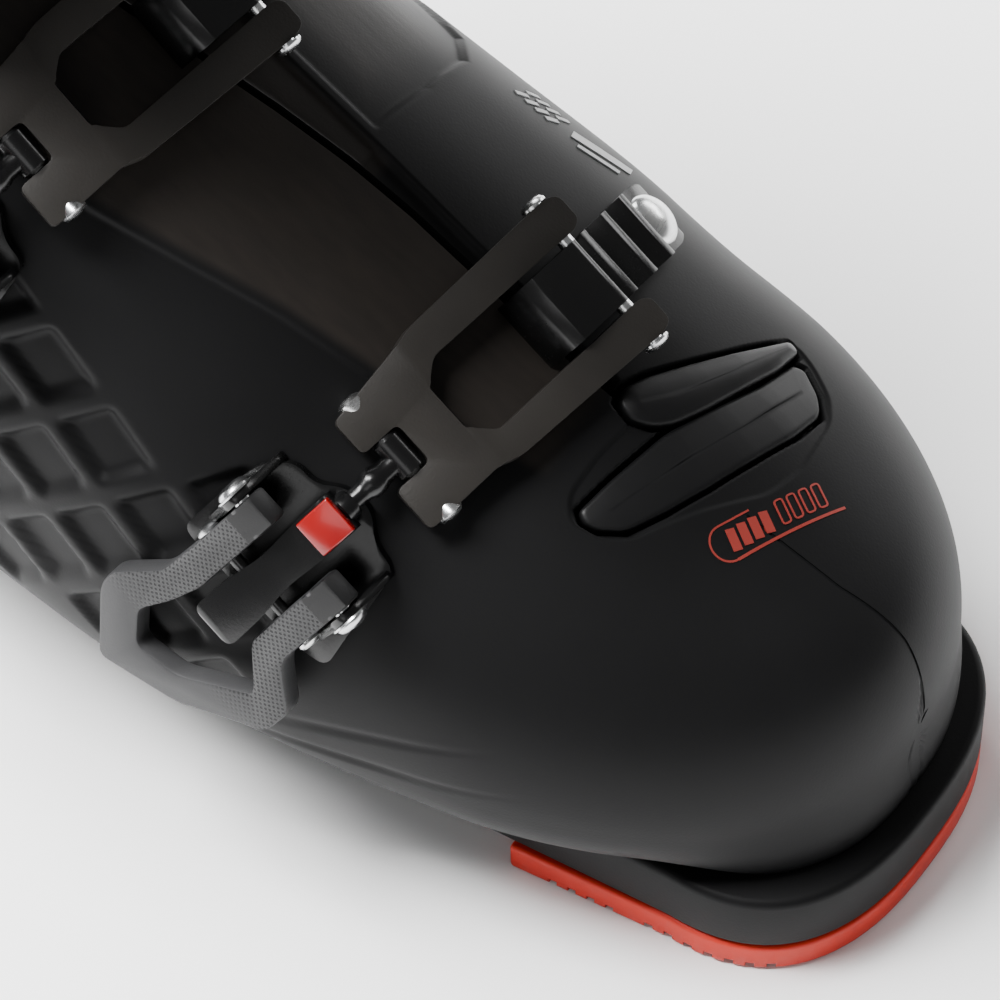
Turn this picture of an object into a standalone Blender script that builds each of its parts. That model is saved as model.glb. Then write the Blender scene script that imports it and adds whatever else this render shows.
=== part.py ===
"""Alpine ski boot, right foot: shell, cuff, liner, sole pads and four ratchet buckles.

Boot coordinates are millimetres: x from the back of the heel to the toe tip, y towards the inner
(medial) side of the foot, z up from the ground. ORIGIN moves them to the part's own frame, whose origin
is the bottom centre of the whole boot, and MM turns them into metres.

A buckle has coordinates of its own, also in millimetres, from the pivot of its lever: v along the pins,
towards the toe or down the leg, u across the foot towards the inner side, and w outwards.
"""

from math import cos, hypot, pi, radians, sin

import bmesh
import bpy
from mathutils import Matrix, Vector

MM = 0.001
ORIGIN = Vector((152.5, -3.5, 0.0))
GAP = 0.3

SOLE_LENGTH = 305.0
TOE_SOLE_WIDTH = 69.0
TOE_SOLE_HEIGHT = 19.0
TOE_SOLE_DEPTH = 28.0
TOE_SOLE_FLARE = 3.0
TOE_PAD_BACK = 249.0
HEEL_SOLE_WIDTH = 70.0
HEEL_SOLE_HEIGHT = 30.0
HEEL_PAD_FRONT = 76.0
SOLE_PAD = 6.0
ARCH_HEIGHT = 9.0
ARCH_TOP = 17.0
# The arch between the two sole pads: (x, half width).
ARCH_OUTLINE = ((70, 33), (110, 27), (160, 28), (215, 34), (255, 36))
SCREW_RADIUS = 2.0
SCREW_HEAD = 4.2
SCREW_RECESS = 0.8
SCREW_TIP = 13.0
SCREW_PLACES = {
    "toe_sole_screw_lateral": (266.0, -17.0),
    "toe_sole_screw_medial": (266.0, 17.0),
    "heel_sole_screw_lateral": (36.0, -17.0),
    "heel_sole_screw_medial": (36.0, 17.0),
}

SHELL_WALL = 4.5
SHELL_TIP = 300.5
SHELL_FLOOR = 15.0
TOE_BLEND_X = 236.0
TOE_WALL_TOP = 58.0
TOE_MIDDLE_HEIGHT = 36.0
TOE_LATERAL_POWER = 1.6
TOE_MEDIAL_POWER = 1.9
RING_POINTS = 28
TOE_RING_ANGLES = (88, 82, 74, 64, 52, 38, 24, 11)
SHELL_RINGS = 14

PIVOT_X = 92.0
PIVOT_Z = 98.0
# Each pivot rivet: how far its shank and its head reach from the boot's middle.
PIVOT_SHANK = (41.0, 54.9)
PIVOT_SHANK_RADIUS = 4.0
PIVOT_HEAD_RADIUS = 7.5
PIVOT_HEAD_TOP = 58.0

CUFF_WALL = 4.5
LINER_WALL = 6.0
SKIN = 1.0
BOARD_HEIGHT = 26.0
BOARD_LIFT = 0.6
BOARD_TILT = 2.6
BOARD_FRONT = 290.0

# Sections of the foot shell behind the toe box, front to back. Each is a closed ring in a plane that holds
# the Y direction, from the point under the foot to the point over it: (x, z) below, (x, z) above, lateral and
# medial half width, share of the height where it is widest, and the squareness of its lower half, its upper
# lateral quarter and its upper medial quarter.
SHELL_SECTIONS = (
    ((236, 13), (236, 80.5), 52, 54, 0.34, 2.7, 2.05, 2.05),
    ((214, 12), (216, 91.5), 55, 57, 0.34, 2.7, 2.0, 2.0),
    ((186, 11), (196, 103), 57, 57, 0.34, 2.7, 2.1, 2.0),
    ((155, 11), (176, 113.5), 56, 55, 0.38, 2.7, 2.35, 2.05),
    ((120, 13), (156, 125), 56, 52, 0.42, 2.6, 2.5, 2.1),
    ((84, 18), (142, 136), 50, 48, 0.44, 2.5, 2.4, 2.1),
    ((46, 25), (134, 144), 45, 45, 0.44, 2.4, 2.2, 2.1),
    ((18, 38), (130, 149), 43, 43, 0.48, 2.2, 2.1, 2.1),
    ((9, 68), (127, 151), 45, 45, 0.50, 2.1, 2.1, 2.1),
    ((8.5, 100), (125, 152.5), 45, 45, 0.50, 2.1, 2.1, 2.1),
    ((14, 128), (124, 153), 44, 44, 0.50, 2.1, 2.1, 2.1),
    ((24, 150), (124, 153), 43, 43, 0.50, 2.1, 2.1, 2.1),
)

# The cuff's outer surface at heights up the leg: (z, back x, front x, half width).
CUFF_LEVELS = (
    (70, 3.0, 150, 54.0),
    (98, 1.5, 154, 54.5),
    (126, 7.0, 156, 54.0),
    (154, 16, 158, 53.0),
    (182, 26, 162, 52.5),
    (210, 35, 167, 53.0),
    (238, 43, 173, 54.5),
    (266, 50, 179, 56.0),
    (294, 57, 185, 58.0),
    (322, 64, 191, 59.0),
)

CUFF_LOW = (168.0, 82.0, 104.0)
CUFF_HIGH = (284.0, 270.0, 302.0)
CUFF_FRONT_SQUARE = 2.4
CUFF_BACK_SQUARE = 2.2

# Each buckle: the point its lever's pivot is measured from, and the direction of its pins, down the foot.
BUCKLES = {
    "toe": ((220.2, -51.0, 79.7), (0.88, -0.095, -0.475)),
    "instep": ((156.9, -56.9, 114.4), (0.86, -0.095, -0.505)),
}
CUFF_BUCKLE_HEIGHTS = {"lower_cuff": 206.0, "upper_cuff": 250.0}
CUFF_BUCKLE_LIFT = 0.6
BUCKLE_CROWN = (50.8, 8.1)
BUCKLE_CURVE = 68.6

PIVOT = (1.7, -3.4)
PIVOT_RADIUS = 1.5
BOSS_RADIUS = 3.0
LINK = (-1.5, -11.9)
LINK_RADIUS = 1.1
LEVER_FACE = (-1.2, -2.6)
LEVER_LEAN = (0.272, 0.962)
LEVER_THICKNESS = 4.0
# The lever seen from outside, (v, distance down from its pivot): its outer edge, then its finger opening.
LEVER_OUTLINE = (
    (-11, -4.5), (-11, 10), (-11.4, 20.8), (-16.5, 29.7), (-16.1, 33.9), (-8.2, 45.3), (5.3, 39.4),
    (17.7, 28.6), (17.8, 21.7), (12.9, 17.0), (11, 14.6), (11, -4.5),
    (5.6, -4.5), (5.6, 16.9), (12, 24.7), (2.2, 34.8), (-5.4, 37), (-9.3, 31.1), (-7.1, 24.7),
    (-5.5, 17.3), (-5.5, -4.5),
)
EAR_INNER = 11.3
EAR_OUTER = 12.8
EAR_PROFILE = (
    (-1.3, -3.4), (-0.6, -1.2), (1.7, -0.3), (4.0, -1.2), (12.2, -2.9), (15.0, -8.5), (9.0, -15.0),
    (4.5, -18.5), (0.8, -15.0),
)
BASE_LOW = 0.3
BASE_HIGH = 2.3
BASE_PLANE = (6.6, -9.6)
BASE_LEAN = (0.66, 0.751)
# The base plate's wavy edge, (v, distance up from its middle).
BASE_OUTLINE = (
    (-14.2, -11.1), (-14.2, -1), (-13.4, 5.5), (-10, 9.2), (-5.6, 9.1), (-2, 12.2), (3, 12.7), (7.3, 9.4),
    (12.3, 8.9), (13.6, 3.2), (14.5, -2.4), (16.3, -10.4), (12, -11.5), (-10.1, -11.6),
)
ADJUSTER_HALF = 3.5
ADJUSTER_PROFILE = (
    (-9.2, -19.6), (-3.4, -11.0), (5.6, 1.2), (7.7, 4.1), (11.5, 2.0), (10.0, -1.5), (4.6, -7.2),
    (2.0, -11.5), (-0.2, -15.0), (-6.8, -21.2),
)
ROD_START = (8.2, 0.8)
ROD_RADIUS = 1.6
TBAR = (21.8, 5.3)
TBAR_RADIUS = 2.2
FRAME_PLANE = (21.9, 9.5)
FRAME_SLOPE = 9.6
FRAME_BEND_AT = 9.5
FRAME_BEND = 14.4
FRAME_THICKNESS = 3.8
# The ladder frame from above, (v, distance from the T-bar towards its fork ends).
FRAME_OUTLINE = (
    (-10.5, -5), (-12.6, 9), (-13.5, 12.5), (-14, 43), (-13, 45), (-8.5, 45), (-7.5, 43.5), (-7.8, 12.5),
    (-5.2, 9.2), (3.8, 9.2), (7.0, 12.5), (7.0, 43.5), (8.0, 45), (12.4, 45), (13.2, 43), (12.2, 12.5),
    (11.0, 9), (11.2, -5), (3.4, -5), (3.4, 1.9), (-4, 1.9), (-4, -5),
)
CATCH_AT = 41.5
CATCH_RADIUS = 1.3
RACK_LOW = -6.4
RACK_HIGH = 5.8
# The rack's toothed top: (distance along the foot's curve from its crown, height over the shell).
RACK_TEETH = (
    (4.0, 5.2), (4.4, 8.4), (7.4, 9.0), (8.0, 8.6), (9.3, 5.0), (14.6, 4.8), (17.6, 8.2), (18.4, 8.0),
    (18.8, 4.8), (21.2, 4.6), (24.0, 7.8), (24.8, 7.6), (25.2, 4.6), (35.5, 4.2), (37.5, 2.5),
)
RACK_RIVET_AT = 31.0
RACK_RIVET_TOP = 4.5
RACK_RIVET_HEAD = 4.6
RACK_RIVET_RADIUS = 2.0

# Rims round the leg, each (front, side, back) heights: the strap's, and the upper liner's.
STRAP_LOW = (288, 282, 292)
STRAP_HIGH = (322, 316, 326)
STRAP_THICKNESS = 2.2
LINER_LOW = (172, 166, 170)
LINER_HIGH = (322, 318, 336)
LINER_INSET = CUFF_WALL + 4.8
TONGUE_HEIGHTS = (184, 330)
TONGUE_INSET = CUFF_WALL + LINER_WALL + 6.4
TONGUE_THICKNESS = 5.0
TONGUE_HALF_ANGLE = 52.0
SPOILER_HEIGHTS = (262, 326)
SPOILER_THICKNESS = 2.2
SPOILER_HALF_ANGLE = 50.0

# The walk lever's housing on the back of the cuff, in its own axes: x across, y up, z outwards.
WALK_HALF_WIDTH = 11.0
WALK_HALF_HEIGHT = 23.0
WALK_DEPTH = 9.0
CHANNEL_HALF_WIDTH = 6.3
CHANNEL_TOP = 19.0
CHANNEL_FLOOR = 2.0
WALK_ARM_HALF_WIDTH = 5.8
WALK_PIVOT = (-16, 6.2)
WALK_PIVOT_RADIUS = 1.6
WALK_PROFILE = ((-19, 4.2), (-18.5, 8.4), (8, 8.6), (15, 12.5), (16.5, 11.0), (12, 6.5), (9, 4.2))


# ---------------------------------------------------------------- scene and materials


def clear_scene():
    for old in list(bpy.data.objects):
        bpy.data.objects.remove(old)


def collection(name):
    made = bpy.data.collections.new(name)
    bpy.context.scene.collection.children.link(made)
    return made


def material(name, colour, roughness, metallic=0.0):
    made = bpy.data.materials.new(name)
    made.use_nodes = True
    shader = made.node_tree.nodes["Principled BSDF"]
    shader.inputs["Base Color"].default_value = (*colour, 1)
    shader.inputs["Roughness"].default_value = roughness
    shader.inputs["Metallic"].default_value = metallic
    return made


def finish(made, name, skin, group):
    """Names an object, gives it its material and files it with the parts."""
    made.name = name
    made.data.name = name
    made.data.materials.clear()
    made.data.materials.append(skin)
    group.objects.link(made)
    return made


# ---------------------------------------------------------------- building blocks


def mesh_from(build, name="part"):
    """A new object, not yet in any collection, from a function that fills a bmesh."""
    mesh = bpy.data.meshes.new(name)
    work = bmesh.new()
    build(work)
    bmesh.ops.recalc_face_normals(work, faces=work.faces)
    work.to_mesh(mesh)
    work.free()
    return bpy.data.objects.new(name, mesh)


def loft(rings, close_start=True, close_end=True):
    """Rings of points in boot coordinates, joined in order."""

    def build(work):
        rows = [[work.verts.new((p - ORIGIN) * MM) for p in points] for points in rings]
        for a, b in zip(rows, rows[1:]):
            for i in range(len(a)):
                j = (i + 1) % len(a)
                work.faces.new((a[i], a[j], b[j], b[i]))
        if close_start:
            work.faces.new(rows[0])
        if close_end:
            work.faces.new(rows[-1])

    return mesh_from(build)


def prism(outline, low, high):
    """A plate whose outline is (x, y) points and whose faces are at two heights z, in millimetres."""
    curve = bpy.data.curves.new("outline", "CURVE")
    curve.dimensions = "2D"
    curve.fill_mode = "BOTH"
    curve.extrude = (high - low) / 2 * MM
    line = curve.splines.new("POLY")
    line.points.add(len(outline) - 1)
    line.use_cyclic_u = True
    for point, (x, y) in zip(line.points, outline):
        point.co = (x * MM, y * MM, 0, 1)
    flat = bpy.data.objects.new("outline", curve)
    bpy.context.scene.collection.objects.link(flat)
    mesh = bpy.data.meshes.new_from_object(flat.evaluated_get(bpy.context.evaluated_depsgraph_get()))
    bpy.data.objects.remove(flat)
    bpy.data.curves.remove(curve)
    work = bmesh.new()
    work.from_mesh(mesh)
    bmesh.ops.remove_doubles(work, verts=work.verts, dist=1e-6)
    bmesh.ops.translate(work, verts=work.verts, vec=(0, 0, (low + high) / 2 * MM))
    bmesh.ops.recalc_face_normals(work, faces=work.faces)
    work.to_mesh(mesh)
    work.free()
    return bpy.data.objects.new("plate", mesh)


def rod(radius, low, high, sides=16):
    """A round bar along z between two heights, in millimetres."""

    def build(work):
        bmesh.ops.create_cone(
            work, cap_ends=True, segments=sides, radius1=radius * MM, radius2=radius * MM,
            depth=(high - low) * MM, matrix=Matrix.Translation((0, 0, (low + high) / 2 * MM)),
        )

    return mesh_from(build)


def baked(made):
    """The object with its modifiers applied."""
    bpy.context.scene.collection.objects.link(made)
    bpy.context.view_layer.update()
    graph = bpy.context.evaluated_depsgraph_get()
    mesh = bpy.data.meshes.new_from_object(made.evaluated_get(graph))
    old = made.data
    made.modifiers.clear()
    made.data = mesh
    bpy.data.meshes.remove(old)
    bpy.context.scene.collection.objects.unlink(made)
    return made


def outwards(made):
    """Turns the faces of a mesh to face out."""
    work = bmesh.new()
    work.from_mesh(made.data)
    bmesh.ops.recalc_face_normals(work, faces=work.faces)
    work.to_mesh(made.data)
    work.free()


def turned(profile, sides=16):
    """A solid turned about z from (radius, height) points, end to end, in millimetres."""
    points = [(0, profile[0][1]), *profile, (0, profile[-1][1])]

    def build(work):
        verts = [work.verts.new((r * MM, 0, z * MM)) for r, z in points]
        for a, b in zip(verts, verts[1:]):
            work.edges.new((a, b))

    made = mesh_from(build)
    screw = made.modifiers.new("turn", "SCREW")
    screw.steps = sides
    screw.render_steps = sides
    screw.use_merge_vertices = True
    screw.merge_threshold = 1e-5
    baked(made)
    outwards(made)
    return made


def moved(made, matrix):
    """The object's mesh carried by a matrix, in metres."""
    made.data.transform(matrix)
    return made


def combine(first, second, operation):
    """first with second joined to it, cut from it, or kept only where they meet."""
    bpy.context.scene.collection.objects.link(second)
    boolean = first.modifiers.new(operation.lower(), "BOOLEAN")
    boolean.operation = operation
    boolean.object = second
    baked(first)
    bpy.data.objects.remove(second)
    return first


def joined(first, *others):
    for other in others:
        combine(first, other, "UNION")
    return first


def cut(first, *others):
    for other in others:
        combine(first, other, "DIFFERENCE")
    return first


def bevelled(made, width, segments=1, angle=40):
    bevel = made.modifiers.new("edges", "BEVEL")
    bevel.width = width * MM
    bevel.segments = segments
    bevel.limit_method = "ANGLE"
    bevel.angle_limit = radians(angle)
    return baked(made)


def axes(x, y, z, origin=(0, 0, 0)):
    """The matrix whose columns are three directions and an origin in millimetres."""
    matrix = Matrix((x, y, z)).transposed().to_4x4()
    matrix.translation = Vector(origin) * MM
    return matrix


SIDE = axes((0, 1, 0), (0, 0, 1), (1, 0, 0))


def boot_place(x, y, z):
    return Matrix.Translation((Vector((x, y, z)) - ORIGIN) * MM)


# ---------------------------------------------------------------- foot shell


def spread(values, share):
    """The value at a share, 0 to 1, of a smooth curve through evenly spaced values (Catmull-Rom)."""
    place = share * (len(values) - 1)
    i = min(int(place), len(values) - 2)
    t = place - i
    before = values[i - 1] if i else 2 * values[0] - values[1]
    after = values[i + 2] if i + 2 < len(values) else 2 * values[-1] - values[-2]
    a, b = values[i], values[i + 1]
    return 0.5 * (
        2 * a
        + (b - before) * t
        + (2 * before - 5 * a + 4 * b - after) * t * t
        + (3 * a - before - 3 * b + after) * t**3
    )


def shell_section(share):
    """One section of the foot shell, from the toe blend, 0, to the ankle opening, 1."""
    flat = [(*low, *high, *rest) for low, high, *rest in SHELL_SECTIONS]
    x0, z0, x1, z1, *rest = (spread(column, share) for column in zip(*flat))
    return (x0, z0), (x1, z1), *rest


def toe_section(angle, inset):
    """One upright section of the toe box, whose ring shrinks onto the middle of the front wall."""
    tip = SHELL_TIP - inset
    x = TOE_BLEND_X + (tip - TOE_BLEND_X) * sin(radians(angle))
    reach = (x - TOE_BLEND_X) / (tip - TOE_BLEND_X)
    lat_wide = (1 - reach**TOE_LATERAL_POWER) ** (1 / 2.1)
    med_wide = (1 - reach**TOE_MEDIAL_POWER) ** (1 / 2.1)
    high = (1 - reach**14) ** (1 / 2.2)
    _, (_, z_blend), lat, med, low, *squares = SHELL_SECTIONS[0]
    middle = TOE_MIDDLE_HEIGHT
    top = z_blend + (x - TOE_BLEND_X) * (TOE_WALL_TOP - z_blend) / (SHELL_TIP - TOE_BLEND_X)
    z0 = middle - (middle - SHELL_FLOOR) * high
    z1 = middle + (top - middle) * high
    return (x, z0), (x, z1), lat * lat_wide, med * med_wide, low + (0.4 - low) * reach, *squares


def ring(section, inset):
    """The points of a section, in boot coordinates, moved inwards by inset."""
    (x0, z0), (x1, z1), lat, med, low, square_low, square_lat, square_med = section
    height = hypot(x1 - x0, z1 - z0)
    up = Vector((x1 - x0, 0, z1 - z0)) / height
    found = []
    for i in range(RING_POINTS):
        angle = 2 * pi * i / RING_POINTS
        side = sin(angle)
        rise = -cos(angle)
        power = 2 / (square_low if rise < 0 else square_med if side > 0 else square_lat)
        half = max((med if side > 0 else lat) - inset, 0.5)
        reach = max((low * height if rise < 0 else (1 - low) * height) - inset, 0.5)
        y = half * abs(side) ** power * (1 if side > 0 else -1)
        w = low * height + reach * abs(rise) ** power * (1 if rise > 0 else -1)
        found.append(Vector((x0, y, z0)) + up * w)
    return found


def shell_rings(inset=0.0, beyond=0.0):
    """The shell's rings from the toe to the ankle opening, the last carried upwards by beyond."""
    rings = [ring(toe_section(angle, inset), inset) for angle in TOE_RING_ANGLES]
    rings += [ring(shell_section(i / SHELL_RINGS), inset) for i in range(SHELL_RINGS + 1)]
    if beyond:
        rings.append([p + Vector((0, 0, beyond)) for p in rings[-1]])
    return rings


def sole_outline(half, tip, back):
    """The rounded toe of the sole, with sides that flare a little backwards."""
    outline = []
    steps = 20
    for i in range(steps + 1):
        angle = -pi / 2 + pi * i / steps
        x = tip - TOE_SOLE_DEPTH + TOE_SOLE_DEPTH * abs(cos(angle)) ** 0.8
        y = half * abs(sin(angle)) ** 0.8 * (1 if angle > 0 else -1)
        outline.append((x, y))
    side = half + TOE_SOLE_FLARE
    return [(back, -side), *outline, (back, side)]


def heel_outline(half, front, inset):
    """The heel of the sole, round at the back."""
    outline = []
    steps = 16
    depth = 30.0
    for i in range(steps + 1):
        angle = pi / 2 + pi * i / steps
        x = inset + depth - depth * abs(cos(angle)) ** 0.85
        y = (half - inset) * abs(sin(angle)) ** 0.85 * (1 if angle < pi else -1)
        outline.append((x, y))
    return [*outline, (front, -half + inset), (front, half - inset)]


def in_boot(plate):
    return moved(plate, boot_place(0, 0, 0))


def screw_holes():
    for x, y in SCREW_PLACES.values():
        hole = joined(rod(SCREW_RADIUS + GAP, -1, SCREW_TIP + 1), rod(SCREW_HEAD + GAP, -1, 3.2))
        yield moved(hole, boot_place(x, y, 0))


def foot_solid(inset, beyond=0.0):
    """The whole foot shell as a solid, its surface moved inwards by inset."""
    return loft(shell_rings(inset, beyond))


def lower_shell():
    under = SOLE_PAD + GAP
    toe = prism(sole_outline(TOE_SOLE_WIDTH / 2, SOLE_LENGTH, TOE_PAD_BACK), under, TOE_SOLE_HEIGHT)
    heel = prism(heel_outline(HEEL_SOLE_WIDTH / 2, HEEL_PAD_FRONT, 0), under, HEEL_SOLE_HEIGHT)
    right = [(x, -y) for x, y in ARCH_OUTLINE]
    left = [(x, y) for x, y in reversed(ARCH_OUTLINE)]
    arch = prism(right + left, ARCH_HEIGHT, ARCH_TOP)
    shell = joined(foot_solid(0), in_boot(toe), in_boot(heel), in_boot(arch))
    cut(shell, foot_solid(SHELL_WALL, 20), *screw_holes())
    return cut(shell, *pivot_holes(), *(rack_hole(place) for place in foot_buckles().values()))


def toe_pad():
    pad = in_boot(prism(sole_outline(TOE_SOLE_WIDTH / 2, SOLE_LENGTH, TOE_PAD_BACK), 0, SOLE_PAD))
    return cut(bevelled(pad, 1.0), *screw_holes())


def heel_pad():
    pad = in_boot(prism(heel_outline(HEEL_SOLE_WIDTH / 2, HEEL_PAD_FRONT, 0), 0, SOLE_PAD))
    return cut(bevelled(pad, 1.0), *screw_holes())


def sole_screw(x, y):
    """One countersunk screw, from its tip in the shell down to its head in the pad."""
    profile = [(SCREW_RADIUS, SCREW_TIP), (SCREW_RADIUS, 2.9), (SCREW_HEAD, 2.6), (SCREW_HEAD, SCREW_RECESS)]
    return moved(turned(profile), boot_place(x, y, 0))


# ---------------------------------------------------------------- inside the shell


def sloped_floor(height):
    """A slab from far below up to a plane that climbs from the toe to the heel."""
    under = prism([(-60, -80), (340, -80), (340, 80), (-60, 80)], -60, 0)
    tilt = Matrix.Rotation(radians(BOARD_TILT), 4, "Y")
    back = Matrix.Translation((-BOARD_FRONT * MM, 0, 0))
    return moved(under, boot_place(BOARD_FRONT, 0, height) @ tilt @ back)


def boot_board():
    return combine(foot_solid(SHELL_WALL + SKIN), sloped_floor(BOARD_HEIGHT), "INTERSECT")


def foot_liner():
    inset = SHELL_WALL + SKIN
    floor = BOARD_HEIGHT + BOARD_LIFT
    outer = cut(foot_solid(inset), sloped_floor(floor))
    return cut(outer, cut(foot_solid(inset + LINER_WALL, 20), sloped_floor(floor + LINER_WALL)))


# ---------------------------------------------------------------- cuff and upper liner


def cuff_level(z):
    """Back x, front x and half width of the cuff's outer surface at a height."""
    share = (z - CUFF_LEVELS[0][0]) / (CUFF_LEVELS[-1][0] - CUFF_LEVELS[0][0])
    return tuple(spread([level[k] for level in CUFF_LEVELS], min(max(share, 0), 1)) for k in (1, 2, 3))


def cuff_point(angle, z, inset):
    """A point on the cuff's outer surface, moved inwards by inset. Angle 0 faces the toe."""
    back, front, half = cuff_level(z)
    centre = (back + front) / 2
    power = 2 / (CUFF_FRONT_SQUARE if cos(angle) > 0 else CUFF_BACK_SQUARE)
    x = centre + ((front - back) / 2 - inset) * abs(cos(angle)) ** power * (1 if cos(angle) > 0 else -1)
    y = (half - inset) * abs(sin(angle)) ** power * (1 if sin(angle) > 0 else -1)
    return Vector((x, y, z))


def rim(angle, front, side, back):
    """A height that runs smoothly round the leg from its value at the front, over the sides, to the back."""
    turn = (front - back) / 2
    twice = (front + back) / 4 - side / 2
    return side + twice + turn * cos(angle) + twice * cos(2 * angle)


def leg_rings(low, high, inset, rows, columns=RING_POINTS):
    """Rings round the leg between a lower and an upper rim, each (front, side, back) heights."""
    rings = []
    for j in range(rows + 1):
        points = []
        for i in range(columns):
            angle = 2 * pi * i / columns
            z = rim(angle, *low) + (rim(angle, *high) - rim(angle, *low)) * j / rows
            points.append(cuff_point(angle, z, inset))
        rings.append(points)
    return rings


def leg_tube(low, high, inset, wall, rows):
    """A wall round the leg between two rims."""
    rings = leg_rings(low, high, inset, rows) + leg_rings(low, high, inset + wall, rows)[::-1]
    return loft([*rings, rings[0]], False, False)


def leg_solid(inset):
    """The leg inside the cuff's surface moved inwards by inset, as a solid."""
    return loft(leg_rings((90, 90, 90), (300, 300, 300), inset, 12))


def leg_patch(low, high, inset, wall, half_angle, facing, rows, columns=14):
    """A wall over part of the leg's girth: facing 0 is its front and pi its back."""

    def row(z_share, depth):
        points = []
        for i in range(columns + 1):
            angle = facing + half_angle * (2 * i / columns - 1)
            points.append(cuff_point(angle, low + (high - low) * z_share, depth))
        return points

    rings = []
    for j in range(rows + 1):
        rings.append(row(j / rows, inset) + row(j / rows, inset + wall)[::-1])
    return loft(rings)


def pivot_pin(side, radius_more=0.0):
    """The rivet that the cuff turns on: side is -1 on the outer side of the foot and 1 on the inner."""
    low, high = PIVOT_SHANK[0], PIVOT_SHANK[1] - radius_more
    shank = PIVOT_SHANK_RADIUS + radius_more
    head = PIVOT_HEAD_RADIUS
    top = PIVOT_HEAD_TOP
    profile = [(shank, low), (shank, high), (head + radius_more, high), (head, top - 1), (head - 2, top)]
    pin = turned(profile, 24)
    return moved(pin, boot_place(PIVOT_X, 0, PIVOT_Z) @ Matrix.Rotation(radians(-90 * side), 4, "X"))


def pivot_holes():
    for side in (-1, 1):
        yield pivot_pin(side, GAP)


def cuff(buckles):
    shell = leg_tube(CUFF_LOW, CUFF_HIGH, 0, CUFF_WALL, 8)
    return cut(shell, *pivot_holes(), *(rack_hole(place) for place in buckles.values()))


# ---------------------------------------------------------------- buckles


def buckle_place(origin, pins):
    """The matrix from a buckle's (v, u, w) to the part's frame."""
    v = Vector(pins).normalized()
    u = (Vector((0, 1, 0)) - v * v.y).normalized()
    return axes(v, u, v.cross(u), Vector(origin) - ORIGIN)


def foot_buckles():
    return {name: buckle_place(*place) for name, place in BUCKLES.items()}


def cuff_buckles():
    """The two cuff buckles, whose crown lies on the front of the cuff."""
    places = {}
    for name, z in CUFF_BUCKLE_HEIGHTS.items():
        crown = cuff_point(0, z, 0)
        down = (cuff_point(0, z - 10, 0) - cuff_point(0, z + 10, 0)).normalized()
        out = down.cross(Vector((0, 1, 0)))
        across, height = BUCKLE_CROWN
        origin = crown - out * (height - CUFF_BUCKLE_LIFT) - Vector((0, across, 0))
        places[name] = buckle_place(origin, down)
    return places


def on_plane(corner, lean):
    """Local axes of a plate: x along v, y along lean in (u, w), z outwards, from a corner (u, w)."""
    (u, w), (du, dw) = corner, lean
    return axes((1, 0, 0), (0, du, dw), (0, -dw, du), (0, u, w))


def bar(centre, radius, low, high, sides=16):
    """A round bar along v at (u, w)."""
    return moved(rod(radius, low, high, sides), axes((0, 1, 0), (0, 0, 1), (1, 0, 0), (0, *centre)))


def slab(profile, low, high):
    """A plate across the pins: its profile is (u, w) points and it reaches from low to high along v."""
    return moved(prism(profile, low, high), SIDE)


def curve_point(along, height):
    """(u, w) at a distance along the shell's curve from its crown and a height over it."""
    angle = along / BUCKLE_CURVE
    across, top = BUCKLE_CROWN
    reach = BUCKLE_CURVE + height
    return across + reach * sin(angle), top - BUCKLE_CURVE + reach * cos(angle)


def base(place, surface):
    """The plate that follows the shell, with the two ears that hold the lever."""
    plate = prism(BASE_OUTLINE, -12, 12)
    moved(plate, place @ on_plane(BASE_PLANE, BASE_LEAN))
    combine(plate, surface(-BASE_HIGH), "INTERSECT")
    for low, high in ((-EAR_OUTER, -EAR_INNER), (EAR_INNER, EAR_OUTER)):
        joined(plate, moved(slab(EAR_PROFILE, low, high), place))
    hole = bar(PIVOT, PIVOT_RADIUS + GAP, -20, 20)
    under = -LEVER_THICKNESS - 2 * GAP
    footprint = [(-11, 5), (-11, -12), (-19, -12), (-19, -50)]
    footprint += [(-v, s) for v, s in reversed(footprint)]
    room = moved(prism(footprint, under, 20), on_plane(LEVER_FACE, LEVER_LEAN))
    boss = bar(PIVOT, BOSS_RADIUS + GAP, -EAR_INNER, EAR_INNER)
    return cut(plate, surface(-BASE_LOW), *(moved(cutter, place) for cutter in (hole, room, boss)))


def lever(place):
    outline = [(v, -s) for v, s in LEVER_OUTLINE]
    plate = moved(prism(outline, -LEVER_THICKNESS, 0), on_plane(LEVER_FACE, LEVER_LEAN))
    bevelled(plate, 0.7)
    for low, high in ((-11, -5.5), (5.6, 11)):
        joined(plate, bar(PIVOT, BOSS_RADIUS, low, high))
    cut(plate, bar(PIVOT, PIVOT_RADIUS + GAP, -20, 20), bar(LINK, LINK_RADIUS + GAP, -20, 20))
    return moved(plate, place)


def pivot_rivet(place, side):
    """One of the two short rivets of the lever's pivot, whose head is outside the ear."""
    profile = [(PIVOT_RADIUS, 6.2), (PIVOT_RADIUS, 13.1), (2.7, 13.1), (2.7, 13.7), (1.8, 14.3)]
    pin = turned(profile)
    return moved(pin, place @ axes((0, side, 0), (0, 0, 1), (side, 0, 0), (0, *PIVOT)))


def rod_line(radius):
    """A bar from inside the adjuster to the T-bar."""
    start = Vector((0, *ROD_START))
    end = Vector((0, *TBAR))
    along = (end - start).normalized()
    way = axes((1, 0, 0), along.cross((1, 0, 0)), along, start)
    return moved(rod(radius, 0, (end - start).length), way)


def adjuster(place):
    body = bevelled(slab(ADJUSTER_PROFILE, -ADJUSTER_HALF, ADJUSTER_HALF), 0.6)
    joined(body, bar(LINK, LINK_RADIUS, -11.2, 11.2))
    return moved(cut(body, rod_line(ROD_RADIUS + GAP)), place)


def threaded_rod(place):
    bar_end = joined(bar(TBAR, TBAR_RADIUS, -3.6, 3.0), bar(TBAR, 1.0, -6.6, 6.0))
    return moved(joined(rod_line(ROD_RADIUS), bar_end), place)


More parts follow.
